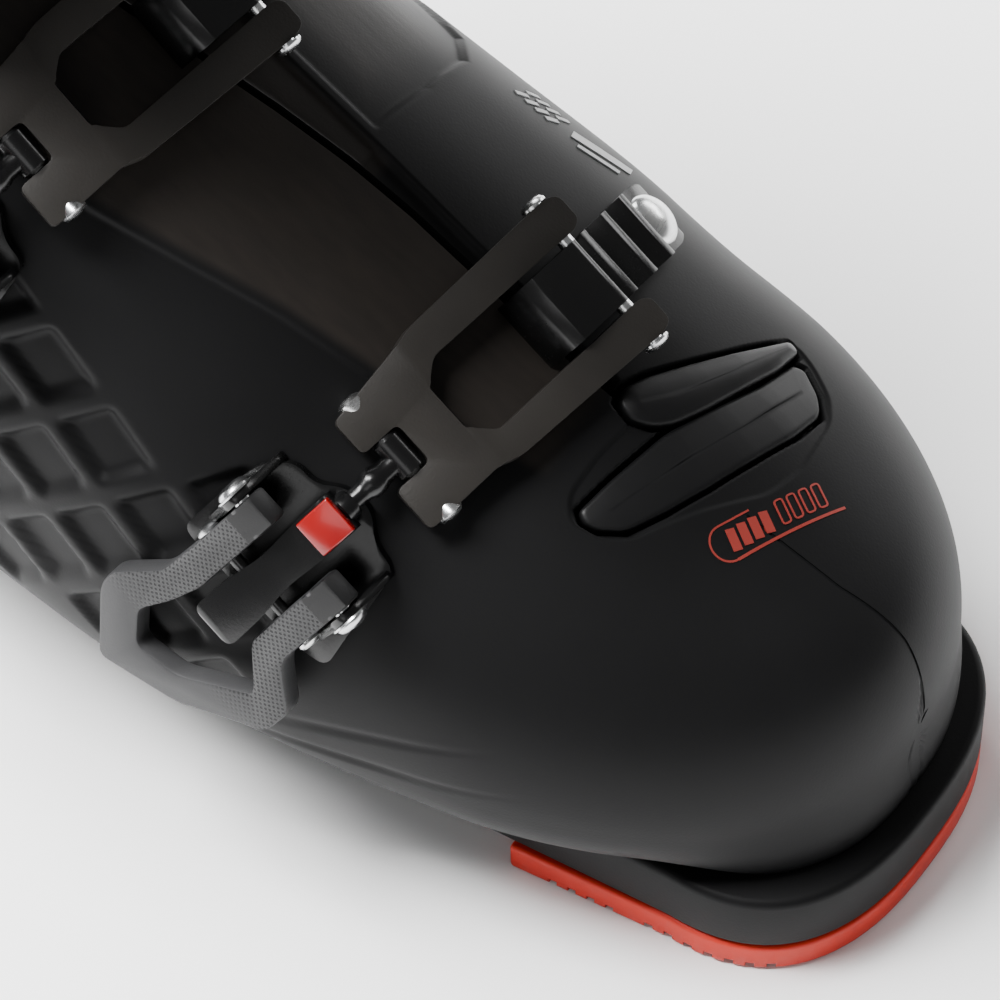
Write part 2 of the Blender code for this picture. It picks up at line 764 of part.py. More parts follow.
def frame(place):
    """The ladder: a yoke round the T-bar, bent down from a fork that holds the catch pin."""
    plate = prism(FRAME_OUTLINE, -FRAME_THICKNESS, 0)
    work = bmesh.new()
    work.from_mesh(plate.data)
    whole = [*work.verts, *work.edges, *work.faces]
    bend = Vector((0, FRAME_BEND_AT, -FRAME_THICKNESS / 2)) * MM
    bmesh.ops.bisect_plane(work, geom=whole, plane_co=bend, plane_no=(0, 1, 0), dist=1e-6)
    yoke = [p for p in work.verts if p.co.y < bend.y - 1e-5]
    turn = Matrix.Rotation(radians(FRAME_BEND), 3, "X")
    bmesh.ops.rotate(work, verts=yoke, cent=bend, matrix=turn)
    work.to_mesh(plate.data)
    work.free()
    bevelled(plate, 0.6)
    catch = bar((CATCH_AT, -FRAME_THICKNESS / 2), CATCH_RADIUS + GAP, -20, 20)
    cut(plate, catch)
    moved(plate, on_plane(FRAME_PLANE, (cos(radians(FRAME_SLOPE)), sin(radians(FRAME_SLOPE)))))
    cut(plate, bar(TBAR, 1.0 + GAP, -7.2, 6.6))
    return moved(plate, place)


def catch_pin(place):
    low, high = -14.3, 13.6
    shank = [(CATCH_RADIUS, low), (CATCH_RADIUS, high)]
    profile = [(2.0, low - 0.3), (2.2, low), *shank, (2.2, high), (2.0, high + 0.3)]
    lean = (cos(radians(FRAME_SLOPE)), sin(radians(FRAME_SLOPE)))
    lying = axes((0, 1, 0), (0, 0, 1), (1, 0, 0), (0, CATCH_AT, -FRAME_THICKNESS / 2))
    return moved(turned(profile), place @ on_plane(FRAME_PLANE, lean) @ lying)


def rack(place, surface):
    top = [curve_point(along, height) for along, height in RACK_TEETH]
    steps = 8
    start, end = RACK_TEETH[0][0], RACK_TEETH[-1][0]
    under = [curve_point(end + (start - end) * i / steps, -4) for i in range(steps + 1)]
    body = moved(slab(top + under, RACK_LOW, RACK_HIGH), place)
    return cut(body, surface(-GAP), rack_hole(place))


def rack_axes(place):
    """The matrix whose z runs outwards through the rack's rivet."""
    u, w = curve_point(RACK_RIVET_AT, RACK_RIVET_TOP)
    angle = RACK_RIVET_AT / BUCKLE_CURVE
    return place @ axes((1, 0, 0), (0, cos(angle), -sin(angle)), (0, sin(angle), cos(angle)), (0, u, w))


def rack_hole(place):
    return moved(rod(RACK_RIVET_RADIUS + GAP, -16, 6), rack_axes(place))


def rack_rivet(place):
    shank, head = RACK_RIVET_RADIUS, RACK_RIVET_HEAD
    profile = [(shank, -7.2), (shank, GAP), (head, GAP), (head, 1.2), (3.4, 2.2), (1.6, 2.7)]
    return moved(turned(profile), rack_axes(place))


def buckle(name, place, surface):
    """The ten pieces of one buckle, as (name, object, material)."""
    yield f"{name}_buckle_base", base(place, surface), "hardware_black"
    yield f"{name}_buckle_lever", lever(place), "lever_grey"
    yield f"{name}_buckle_rivet_front", pivot_rivet(place, 1), "zinc"
    yield f"{name}_buckle_rivet_rear", pivot_rivet(place, -1), "zinc"
    yield f"{name}_buckle_adjuster", adjuster(place), "adjuster_red"
    yield f"{name}_buckle_rod", threaded_rod(place), "hardware_black"
    yield f"{name}_buckle_frame", frame(place), "ladder_grey"
    yield f"{name}_buckle_catch_pin", catch_pin(place), "zinc"
    yield f"{name}_buckle_rack", rack(place, surface), "hardware_black"
    yield f"{name}_buckle_rack_rivet", rack_rivet(place), "zinc"


# ---------------------------------------------------------------- small pieces of the foot and cuff


def patch(sections, low, high, thick):
    """A wall that lies on the foot shell over some sections, from low to high degrees; 180 is the top."""
    first, last = (round(degrees / 360 * RING_POINTS) for degrees in (low, high))
    rings = []
    for section in sections:
        outer = ring(section, -GAP - thick)[first:last]
        inner = ring(section, -GAP)[first:last]
        rings.append(outer + inner[::-1])
    return loft(rings)


def throat_seal():
    """The soft pad in the crease in front of the overlap."""
    return patch([toe_section(angle, 0) for angle in (24, 17, 10)], 158, 222, 2.0)


def throat_flap():
    """The edge of the outer shell half where it laps over the inner half."""
    return patch([toe_section(angle, 0) for angle in (8, 6, 4)], 150, 210, 1.2)


def power_strap():
    return leg_tube(STRAP_LOW, STRAP_HIGH, -STRAP_THICKNESS - GAP, STRAP_THICKNESS, 2)


def rear_spoiler():
    low, high = SPOILER_HEIGHTS
    return leg_patch(low, high, CUFF_WALL + SKIN, SPOILER_THICKNESS, radians(SPOILER_HALF_ANGLE), pi, 3)


def cuff_liner():
    return leg_tube(LINER_LOW, LINER_HIGH, LINER_INSET, LINER_WALL, 6)


def liner_tongue():
    low, high = TONGUE_HEIGHTS
    return leg_patch(low, high, TONGUE_INSET, TONGUE_THICKNESS, radians(TONGUE_HALF_ANGLE), 0, 6, 10)


def walk_place():
    """The matrix of the walk lever's housing: x across the back of the cuff, y up it, z outwards."""
    up = (cuff_point(pi, 182, 0) - cuff_point(pi, 126, 0)).normalized()
    across = Vector((0, -1, 0))
    return axes(across, up, across.cross(up), cuff_point(pi, 154, 0) - ORIGIN)


def walk_housing():
    """A block on the back of the cuff with a channel that the lever lies in."""
    half, tall = WALK_HALF_WIDTH, WALK_HALF_HEIGHT
    box = prism([(-half, -tall), (half, -tall), (half, tall), (-half, tall)], 1 - WALK_DEPTH, WALK_DEPTH)
    slot, top = CHANNEL_HALF_WIDTH, CHANNEL_TOP
    channel = prism([(-slot, -30), (slot, -30), (slot, top), (-slot, top)], CHANNEL_FLOOR, 20)
    cut(box, channel, bar(WALK_PIVOT, WALK_PIVOT_RADIUS + GAP, -9, 9))
    return cut(moved(box, walk_place()), leg_solid(-GAP))


def walk_lever():
    arm = bevelled(slab(WALK_PROFILE, -WALK_ARM_HALF_WIDTH, WALK_ARM_HALF_WIDTH), 0.6)
    return moved(joined(arm, bar(WALK_PIVOT, WALK_PIVOT_RADIUS, -8.5, 8.5)), walk_place())


def main():
    clear_scene()
    parts = collection("ski_boot")
    skins = {
        "shell_grey": material("shell_grey", (0.016, 0.016, 0.018), 0.5),
        "sole_orange": material("sole_orange", (0.70, 0.052, 0.022), 0.45),
        "hardware_black": material("hardware_black", (0.008, 0.008, 0.008), 0.4),
        "lever_grey": material("lever_grey", (0.12, 0.12, 0.13), 0.42),
        "ladder_grey": material("ladder_grey", (0.028, 0.024, 0.021), 0.5),
        "adjuster_red": material("adjuster_red", (0.45, 0.006, 0.004), 0.2),
        "zinc": material("zinc", (0.62, 0.62, 0.62), 0.28, 1.0),
        "liner_black": material("liner_black", (0.012, 0.012, 0.013), 0.85),
        "strap_black": material("strap_black", (0.01, 0.01, 0.011), 0.8),
        "board_grey": material("board_grey", (0.08, 0.08, 0.08), 0.7),
    }
    pieces = [
        ("lower_shell", lower_shell(), "shell_grey"),
        ("toe_sole_pad", toe_pad(), "sole_orange"),
        ("heel_sole_pad", heel_pad(), "sole_orange"),
        ("boot_board", boot_board(), "board_grey"),
        ("liner_foot", foot_liner(), "liner_black"),
        ("throat_seal", throat_seal(), "liner_black"),
        ("throat_flap", throat_flap(), "shell_grey"),
        ("cuff", cuff(cuff_buckles()), "shell_grey"),
        ("cuff_pivot_lateral", pivot_pin(-1), "zinc"),
        ("cuff_pivot_medial", pivot_pin(1), "zinc"),
        ("power_strap", power_strap(), "strap_black"),
        ("rear_spoiler", rear_spoiler(), "hardware_black"),
        ("liner_cuff", cuff_liner(), "liner_black"),
        ("liner_tongue", liner_tongue(), "liner_black"),
        ("walk_housing", walk_housing(), "hardware_black"),
        ("walk_lever", walk_lever(), "lever_grey"),
    ]
    pieces += [(name, sole_screw(*place), "zinc") for name, place in SCREW_PLACES.items()]
    for name, place in foot_buckles().items():
        pieces += buckle(name, place, foot_solid)
    for name, place in cuff_buckles().items():
        pieces += buckle(name, place, leg_solid)
    for name, made, skin in pieces:
        finish(made, name, skins[skin], parts)


main()
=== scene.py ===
"""Looks of the alpine ski boot: shell, sole, buckles, cuff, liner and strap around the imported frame.

Boot coordinates are millimetres: x from the back of the heel to the toe tip, y towards the inner
(medial) side of the foot, z up from the ground, as in the CAD. ORIGIN moves them to the frame's own
origin and MM turns them into metres. A buckle has coordinates of its own: v along its pins, u across the
foot towards the inner side, and w outwards.
"""

from math import asin, cos, hypot, pi, radians, sin, sqrt

import bmesh
import bpy
import numpy as np
from mathutils import Matrix, Vector
from mathutils.bvhtree import BVHTree
from mathutils.kdtree import KDTree


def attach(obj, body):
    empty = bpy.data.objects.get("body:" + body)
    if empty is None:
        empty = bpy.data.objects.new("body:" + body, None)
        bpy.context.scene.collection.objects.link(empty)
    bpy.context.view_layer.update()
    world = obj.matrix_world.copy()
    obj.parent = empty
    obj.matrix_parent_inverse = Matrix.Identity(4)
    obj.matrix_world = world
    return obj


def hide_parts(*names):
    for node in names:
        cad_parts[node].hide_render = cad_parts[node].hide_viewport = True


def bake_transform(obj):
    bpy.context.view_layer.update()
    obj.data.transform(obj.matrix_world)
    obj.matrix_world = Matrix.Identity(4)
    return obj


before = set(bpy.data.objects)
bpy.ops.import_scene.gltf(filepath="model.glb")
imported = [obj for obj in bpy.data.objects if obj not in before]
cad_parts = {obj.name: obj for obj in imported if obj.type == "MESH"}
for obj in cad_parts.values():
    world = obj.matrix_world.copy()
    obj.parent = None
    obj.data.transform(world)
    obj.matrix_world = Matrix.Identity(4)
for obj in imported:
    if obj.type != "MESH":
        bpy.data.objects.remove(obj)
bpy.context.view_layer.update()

MM = 0.001
ORIGIN = Vector((152.5, -3.5, 0.0))
GAP = 0.3
# Points closer than this, in metres, are one.
WELD = 1e-6
# Edges sharper than this, in degrees, are bevelled.
BEVEL_ANGLE = 30

# ---------------------------------------------------------------- the CAD's own sizes

SOLE_LENGTH = 305.0
TOE_SOLE_WIDTH = 69.0
TOE_SOLE_HEIGHT = 19.0
TOE_SOLE_DEPTH = 28.0
TOE_SOLE_FLARE = 3.0
TOE_PAD_BACK = 249.0
HEEL_SOLE_WIDTH = 70.0
HEEL_SOLE_HEIGHT = 30.0
HEEL_SOLE_DEPTH = 30.0
HEEL_PAD_FRONT = 76.0
SOLE_PAD = 6.0
ARCH_HEIGHT = 9.0
ARCH_TOP = 17
RIB_COUNT = 9
RIB_START = 88
RIB_PITCH = 18
RIB_DEPTH = 1.6
ARCH_HALVES = ((70, 33), (110, 27), (160, 28), (215, 34), (255, 36))

SHELL_WALL = 4.5
SHELL_TIP = 300.5
SHELL_FLOOR = 15.0
TOE_BLEND_X = 236.0
TOE_WALL_TOP = 58.0
TOE_LATERAL_POWER = 1.6
TOE_MEDIAL_POWER = 1.9
PIVOT_X = 92.0
PIVOT_Z = 98.0
CUFF_WALL = 4.5
LINER_WALL = 6.0
# How far the rounded rim of the foot shell stands over its wall.
RIM_RISE = 1.2

# Sections of the foot shell behind the toe box, front to back: (x, z) below, (x, z) above, lateral and medial
# half width, share of the height where it is widest, and the squareness of its lower half, its upper lateral
# quarter and its upper medial quarter.
SHELL_SECTIONS = (
    ((236, 13), (236, 80.5), 52, 54, 0.34, 2.7, 2.05, 2.05),
    ((214, 12), (216, 91.5), 55, 57, 0.34, 2.7, 2.0, 2.0),
    ((186, 11), (196, 103), 57, 57, 0.34, 2.7, 2.1, 2.0),
    ((155, 11), (176, 113.5), 56, 55, 0.38, 2.7, 2.35, 2.05),
    ((120, 13), (156, 125), 56, 52, 0.42, 2.6, 2.5, 2.1),
    ((84, 18), (142, 136), 50, 48, 0.44, 2.5, 2.4, 2.1),
    ((46, 25), (134, 144), 45, 45, 0.44, 2.4, 2.2, 2.1),
    ((18, 38), (130, 149), 43, 43, 0.48, 2.2, 2.1, 2.1),
    ((9, 68), (127, 151), 45, 45, 0.50, 2.1, 2.1, 2.1),
    ((8.5, 100), (125, 152.5), 45, 45, 0.50, 2.1, 2.1, 2.1),
    ((14, 128), (124, 153), 44, 44, 0.50, 2.1, 2.1, 2.1),
    ((24, 150), (124, 153), 43, 43, 0.50, 2.1, 2.1, 2.1),
)

# The cuff's outer surface at heights up the leg: (z, back x, front x, half width).
CUFF_LEVELS = (
    (70, 3.0, 150, 54.0),
    (98, 1.5, 154, 54.5),
    (126, 7.0, 156, 54.0),
    (154, 16, 158, 53.0),
    (182, 26, 162, 52.5),
    (210, 35, 167, 53.0),
    (238, 43, 173, 54.5),
    (266, 50, 179, 56.0),
    (294, 57, 185, 58.0),
    (322, 64, 191, 59.0),
)
CUFF_LOW = (168.0, 82.0, 104.0)
CUFF_HIGH = (284.0, 270.0, 302.0)
CUFF_FRONT_SQUARE = 2.4
CUFF_BACK_SQUARE = 2.2

BUCKLES = {
    "toe": ((220.2, -51.0, 79.7), (0.88, -0.095, -0.475)),
    "instep": ((156.9, -56.9, 114.4), (0.86, -0.095, -0.505)),
}
CUFF_BUCKLE_HEIGHTS = {"lower_cuff": 206.0, "upper_cuff": 250.0}
CUFF_BUCKLE_LIFT = 0.6
BUCKLE_CROWN = (50.8, 8.1)
BUCKLE_CURVE = 68.6
PIVOT = (1.7, -3.4)
PIVOT_RADIUS = 1.5
BOSS_RADIUS = 3.0
LINK = (-1.5, -11.9)
LINK_RADIUS = 1.1
LEVER_FACE = (-1.2, -2.6)
LEVER_LEAN = (0.272, 0.962)
LEVER_THICKNESS = 4.0
LEVER_OUTER = (
    (-11, -4.5), (-11, 10), (-11.4, 20.8), (-16.5, 29.7), (-16.1, 33.9), (-8.2, 45.3), (5.3, 39.4),
    (17.7, 28.6), (17.8, 21.7), (12.9, 17.0), (11, 14.6), (11, -4.5),
)
LEVER_INNER = (
    (5.6, -4.5), (5.6, 16.9), (12, 24.7), (2.2, 34.8), (-5.4, 37), (-9.3, 31.1), (-7.1, 24.7),
    (-5.5, 17.3), (-5.5, -4.5),
)
EAR_INNER = 11.3
EAR_OUTER = 12.8
EAR_PROFILE = (
    (-1.3, -3.4), (-0.6, -1.2), (1.7, -0.3), (4.0, -1.2), (12.2, -2.9), (15.0, -8.5), (9.0, -15.0),
    (4.5, -18.5), (0.8, -15.0),
)
BASE_LOW = 0.3
BASE_HIGH = 2.3
BASE_PLANE = (6.6, -9.6)
BASE_LEAN = (0.66, 0.751)
BASE_OUTLINE = (
    (-14.2, -11.1), (-14.2, -1), (-13.4, 5.5), (-10, 9.2), (-5.6, 9.1), (-2, 12.2), (3, 12.7), (7.3, 9.4),
    (12.3, 8.9), (13.6, 3.2), (14.5, -2.4), (16.3, -10.4), (12, -11.5), (-10.1, -11.6),
)
ADJUSTER_HALF = 3.5
ADJUSTER_PROFILE = (
    (-9.2, -19.6), (-3.4, -11.0), (5.6, 1.2), (7.7, 4.1), (11.5, 2.0), (10.0, -1.5), (4.6, -7.2),
    (2.0, -11.5), (-0.2, -15.0), (-6.8, -21.2),
)
# The adjuster seen from outside, (v, distance up from the lever's pivot), and the way it leans, (u, w).
ADJUSTER_PLAN = (
    (-3.5, 12.5), (-3.5, 2.0), (-3.0, -6.0), (-3.9, -13.0), (-4.1, -20.6),
    (4.1, -20.6), (3.9, -13.0), (3.0, -6.0), (3.5, 2.0), (3.5, 12.5),
)
ADJUSTER_LEAN = (0.64, 0.77)
# The red block let into it: its profile, (u, w), and how far it reaches along v.
RED_PROFILE = ((5.4, -1.6), (9.3, 3.4), (7.9, 5.1), (5.0, 1.8), (3.7, -0.2))
RED_REACH = (-3.1, 3.3)
# The rod's radius along its length, from the adjuster to the T-bar.
ROD_PROFILE = (
    (1.5, 0.0), (1.6, 0.12), (1.62, 0.42), (1.8, 0.48), (2.25, 0.54), (2.4, 0.60), (2.3, 0.67), (1.95, 0.73),
    (1.9, 0.84), (2.0, 1.0),
)
ROD_START = (8.2, 0.8)
TBAR = (21.8, 5.3)
TBAR_RADIUS = 2.2
FRAME_PLANE = (21.9, 9.5)
FRAME_SLOPE = 9.6
FRAME_BEND_AT = 9.5
FRAME_BEND = 14.4
FRAME_THICKNESS = 3.8
FRAME_OUTLINE = (
    (-10.5, -5), (-12.6, 9), (-13.5, 12.5), (-14, 43), (-13, 45), (-8.5, 45), (-7.5, 43.5), (-7.8, 12.5),
    (-5.2, 9.2), (3.8, 9.2), (7.0, 12.5), (7.0, 43.5), (8.0, 45), (12.4, 45), (13.2, 43), (12.2, 12.5),
    (11.0, 9), (11.2, -5), (3.4, -5), (3.4, 1.9), (-4, 1.9), (-4, -5),
)
CATCH_AT = 41.5
CATCH_RADIUS = 1.3
RACK_LOW = -6.4
RACK_HIGH = 5.8
RACK_TEETH = (
    (-1.0, 3.2), (0.6, 7.0), (1.8, 8.9), (10.0, 10.1), (11.0, 9.8), (10.9, 9.0), (8.3, 8.7), (8.1, 4.4),
    (10.0, 4.2),
    (13.4, 8.2), (15.0, 8.0), (15.0, 4.2), (16.3, 4.1), (19.2, 7.9), (20.8, 7.7), (20.8, 4.1), (22.1, 4.0),
    (24.8, 7.7), (26.4, 7.5), (26.5, 4.3),
    (36.3, 4.2), (37.6, 2.5),
)
RACK_RIVET_AT = 31.0
RACK_RIVET_TOP = 4.5
RACK_RIVET_HEAD = 4.6
RACK_RIVET_RADIUS = 2.0
# Rims of the strap, its tail, the liner, its tongue and the spoiler: heights at the front, sides and back.
STRAP_LOW = (288, 282, 292)
STRAP_HIGH = (322, 316, 326)
TAIL_LOW = (290, 284, 294)
TAIL_HIGH = (320, 314, 324)
LINER_LOW = (150, 132, 128)
LINER_HIGH = (319, 315, 333)
TONGUE_LOW = (184, 184, 184)
TONGUE_HIGH = (330, 326, 326)
SPOILER_LOW = (262, 262, 262)
SPOILER_HIGH = (325, 325, 325)
# How far the liner and its tongue lie inside the cuff's wall, and the walls and half angles of the others.
LINER_CLEARANCE = 4.8
TONGUE_CLEARANCE = 6.4
TONGUE_WALL = 5
TONGUE_HALF_ANGLE = 52
SPOILER_WALL = 2.2
SPOILER_HALF_ANGLE = 50
STRAP_THICKNESS = 2.2
# The angle round the leg that the tail faces, and half the angle that it covers.
TAIL_ANGLES = (-0.55, 0.62)
# The cuff's rivets, (radius, distance from the boot's middle), and the walk lever on the back of the cuff.
PIVOT_PROFILE = ((4.0, 41.0), (4.0, 54.9), (7.5, 54.9), (7.7, 55.6), (7.4, 56.8), (6.4, 57.6), (4.6, 58.0))
WALK_HEIGHT = 154
WALK_HALF_SPAN = 28
WALK_PIVOT = (-16, 6.2)
WALK_PIVOT_RADIUS = 1.6
WALK_PROFILE = ((-19, 4.2), (-18.5, 8.4), (8, 8.6), (15, 12.5), (16.5, 11.0), (12, 6.5), (9, 4.2))

# ---------------------------------------------------------------- sizes of the surface detail

# Where the outer half of the shell laps over the inner half, then the moulding line down the toe: (x, y).
LAP_LINE = ((60, -12), (150, -9), (170, -4.0), (183, -1.5), (195, 0.2), (206, 1.2), (226, 1.6), (243, 1.9),
            (256, 0.5), (269, -0.4), (285, 0.0), (296, 2.2), (301, 2.2))
LAP_WIDTH = 1.4
LAP_DEPTH = 2.4
MOULD_WIDTH = 0.5
MOULD_DEPTH = 0.28
# The inner half's edge under the overlap.
FLANGE_LINE = ((60, 16), (150, 9), (175, 7.0), (197, 6.2), (222, 5.4), (243, 4.5))
FLANGE_STEP = 0.9
# The low step on the outer half, beside the brushed strip.
STEP_LINE = ((60, -46), (150, -36), (172, -31.3), (186, -27.9), (200, -24.3), (214, -21.8), (240, -17))
STEP_DROP = 0.55
# The short slit across the brushed strip.
SLIT_X = 197.0
# The sunk panel behind the overlap, on the inner side.
PANEL = ((150, 9.5), (176, 8.2), (194.6, 7.6), (194.8, 22), (192.6, 35.0), (187, 41.5), (174, 47), (150, 50))
PANEL_DEPTH = 0.8
# The lowest z of the details on top, and the x where the overlap fades in and where it ends.
SHELL_TOP = 60
LAP_START = 60
TOE_BACK = 246
# How far the shell swells over the toe and heel lugs.
TOE_FLARE = 4.6
HEEL_FLARE = 9.0

# The crease in front of the overlap, its soft pad and the beak that closes it, seen from above: (x, y).
CREASE = ((246.8, -0.8), (246.0, -8.0), (246.0, -16.0), (248.4, -19.0), (253.8, -18.2), (257.2, -15.4),
          (263.0, -4.7), (269.0, 5.0), (270.2, 12.6), (268.2, 24.2), (265.0, 29.2), (259.4, 33.0),
          (254.8, 34.6), (250.0, 21.0), (246.8, 12.5), (244.2, 4.0))
CREASE_DEPTH = 0.4
CREASE_EDGE = 0.5
POCKET_DEPTH = 3.0
POCKET_GAP = 0.8
POCKET_EDGE = 0.6
PAD_OUTLINE = ((248.6, -16.8), (249.6, -10.8), (251.8, 2.6), (254.6, 12.0), (256.9, 21.0), (257.4, 30.4),
               (258.9, 31.3), (263.6, 28.2), (266.2, 24.8), (265.9, 17.6), (263.9, 8.4), (261.6, -0.5),
               (258.9, -8.4), (256.0, -14.6), (252.3, -17.4), (250.0, -17.8))
PAD_SPINE = ((252.4, -13.6), (256.0, -1.0), (259.8, 13.0), (261.6, 25.8))
BEAK_OUTLINE = ((243.6, 0.8), (242.9, 3.6), (244.1, 7.6), (247.2, 14.3), (250.0, 20.8), (254.4, 33.4),
                (256.6, 32.6), (257.0, 26.0), (255.8, 18.6), (254.0, 10.4), (252.0, 4.6), (249.6, 1.4),
                (246.4, 0.0))
BEAK_SPINE = ((246.2, 3.2), (249.6, 8.6), (252.6, 17.6), (255.2, 30.4))

# Sunk diamonds on the outer side: the first one's rear corner and the two steps to the next, as (x, height
# measured along the surface).
DIAMOND_START = (174.5, 82.2)
DIAMOND_A = (11.7, -10.7)
DIAMOND_B = (10.0, 9.4)
DIAMOND_SHARE = 0.88
DIAMOND_DEPTH = 1.5
DIAMOND_EDGE = 0.13
# The field they fill: its range of x, its lowest height and the slope of its upper border.
DIAMOND_X = (96, 212)
DIAMOND_LOWEST = 34
DIAMOND_SLOPE = -0.43

# Long shallow facets low on the outer side of the forefoot: (rear x, front x, rear z, front z).
STREAKS = ((196, 262, 28, 41), (206, 256, 35, 49), (188, 240, 24, 30))
STREAK_DEPTH = 0.4
STREAK_WIDTH = 2.2

# How often the change of section behind the toe box is smoothed.
EASE_ROUNDS = 500

# Columns of the shell's grid: offsets from the overlap line, the angle beside it that is divided finely, and
# how many columns lie there and on the two sides.
LAP_OFFSETS = (1.3, 0.8, 0.72, 0.62, 0.25, -0.25, -0.5, -0.62, -0.70, -0.85, -1.4)
TOP_REACH = 0.85
TOP_COLUMNS = 150
INNER_COLUMNS = 90
OUTER_COLUMNS = 170

# The lever's grid of dots, the stretch over which it fades in and the start of the smooth dark head, measured
# along the lever.
DOT_PITCH = 1.13
DOT_FADE = (-33.0, -24.0)
HEAD_START = -2.3

# Slots in both edges of the sole pads, (middle x, y, turn in degrees, count), the ends of the pads' middle
# grooves, and the sole's screws, (x, y).
TOE_TREADS = ((284, 32, 24, 7), (262, 36, 4, 4))
HEEL_TREADS = ((40, 36, 0, 9),)
TOE_GROOVE = (262, 300)
HEEL_GROOVE = (12, 60)
TREAD_PITCH = 3.4
TREAD_WIDTH = 1.5
TREAD_DEPTH = 1.6
SOLE_SCREWS = {
    "toe_sole_screw_lateral": (266.0, -17.0),
    "toe_sole_screw_medial": (266.0, 17.0),
    "heel_sole_screw_lateral": (36.0, -17.0),
    "heel_sole_screw_medial": (36.0, 17.0),
}

# The rounding of the soft pad's and the beak's edge.
EDGE_ROUND = 0.7

# The printed mark on the toe: its start, (x, y), its turn in degrees and its sizes.
MARK_START = (270.3, -9.7)
MARK_TURN = 70.0
MARK_HEIGHT = 5.6
MARK_STROKE = 0.3
MARK_LENGTH = 23.3
# The plain bars in the place of the print on the inner side: (start, end, width), seen from above.
SIDE_BLOCKS = (((209.0, 39.6), (217.6, 43.6), 2.4), ((211.4, 37.6), (217.6, 40.2), 1.0))
SIDE_BARS_X = (199.6, 201.5, 203.4, 205.3)
SIDE_BARS_Y = (37.6, 40.6)

# The cuff's lap at the front: its angle and half its width, in radians.
CUFF_LAP = -0.10
CUFF_LAP_HALF = 0.014
# The x of the leg's middle at the strap, and the stitches of the strap's tail.
LEG_MIDDLE = 115
STITCH_LENGTH = 2.4
STITCH_GAP = 1.1
STITCH_RADIUS = 0.28
STITCH_LIFT = 0.12
# How far the liner's padded collar stands out.
COLLAR_PUFF = 6.4
# The footbed: its thickness, its tilt in degrees, (x, z) of its front end and its outline's (x, half width).
BOARD_THICKNESS = 5.0
BOARD_TILT = 2.6
BOARD_FRONT = (290, 25.6)
BOARD_HALVES = (
    (18, 22), (30, 28), (60, 31), (100, 30), (140, 33), (190, 40), (225, 41), (255, 33), (276, 18),
)

# ---------------------------------------------------------------- materials, camera and light

# Moulded pieces: the darker and the lighter colour, roughness, grain, its depth and other shader values.
PLASTICS = {
    "orange": ("sole_orange", (0.46, 0.013, 0.003), (0.54, 0.018, 0.005), 0.46, 1400, 0.00002,
               {"Specular_IOR_Level": 0.3}),
    "black": ("hardware_black", (0.0018, 0.0018, 0.0020), (0.0036, 0.0036, 0.0036), 0.25, 2200, 0.00001,
              {"Specular_IOR_Level": 0.4}),
    "rubber": ("seal_rubber", (0.0034, 0.0034, 0.0036), (0.0050, 0.0050, 0.0053), 0.42, 2600, 0.00001,
               {"Specular_IOR_Level": 0.2}),
    "ladder": ("ladder_grey", (0.0150, 0.0134, 0.0118), (0.0230, 0.0206, 0.0182), 0.46, 2400, 0.00004,
               {"Specular_IOR_Level": 0.28}),
    "red": ("adjuster_red", (0.20, 0.002, 0.003), (0.26, 0.003, 0.003), 0.25, 500, 0.00001,
            {"Coat_Weight": 0.3, "Coat_Roughness": 0.08}),
    "mark": ("printed_red", (0.16, 0.010, 0.005), (0.20, 0.013, 0.007), 0.5, 2000, 0.00001, {}),
    "print": ("printed_white", (0.34, 0.34, 0.34), (0.42, 0.42, 0.42), 0.5, 2000, 0.00001, {}),
    "board": ("board_grey", (0.05, 0.05, 0.05), (0.08, 0.08, 0.08), 0.7, 700, 0.0001, {}),
}
# Woven pieces: the two colours, the threads' pitch in millimetres, their depth in metres and the roughness.
FABRICS = {
    "liner": ("liner_fabric", (0.0030, 0.0030, 0.0034), (0.0085, 0.0085, 0.0092), 1.1, 0.00012, 0.82),
    "webbing": ("strap_webbing", (0.0018, 0.0018, 0.0021), (0.0062, 0.0062, 0.0066), 1.6, 0.0002, 0.75),
    "thread": ("stitch_thread", (0.10, 0.10, 0.10), (0.20, 0.20, 0.20), 0.6, 0.00005, 0.7),
}

# The camera stands to the toe's outer side and well above it, close enough to see only the forefoot.
# Azimuth, elevation and roll in degrees; the rest in millimetres.
CAMERA_ANGLES = (35.55, 54.42, 1.15)
CAMERA_TARGET = (230.0, 0.0, 60.0)
CAMERA_DISTANCE = 841.5
CAMERA_ASIDE = (6.37, 10.05)
CAMERA_LENS = 194.0
WORLD_LIGHT = 0.22
FLOOR_SIZE = 6.0
FLOOR_HEIGHT = -0.0002
# Each light: its name, place, aim, size and power, in metres and watts.
LIGHTS = (
    ("overhead", (-0.9, -0.3, 1.9), (0.0, 0.0, 0.0), (1.2, 1.2), 240.0),
    ("key", (0.5, -1.7, 1.2), (0.05, 0.0, 0.05), (1.0, 0.8), 5.0),
    ("medial", (0.1, 1.7, 0.6), (0.0, 0.0, 0.05), (1.2, 0.5), 14.0),
    ("rim", (-1.4, 0.9, 1.1), (0.0, 0.0, 0.15), (0.8, 0.6), 14.0),
)


def smooth(t):
    """0 below 0, 1 above 1 and a smooth step between."""
    t = np.clip(t, 0.0, 1.0)
    return t * t * (3 - 2 * t)


def along(line, x):
    """The second value of a list of (x, value) points at x, by straight lines."""
    return np.interp(x, [p[0] for p in line], [p[1] for p in line])


# ---------------------------------------------------------------- materials


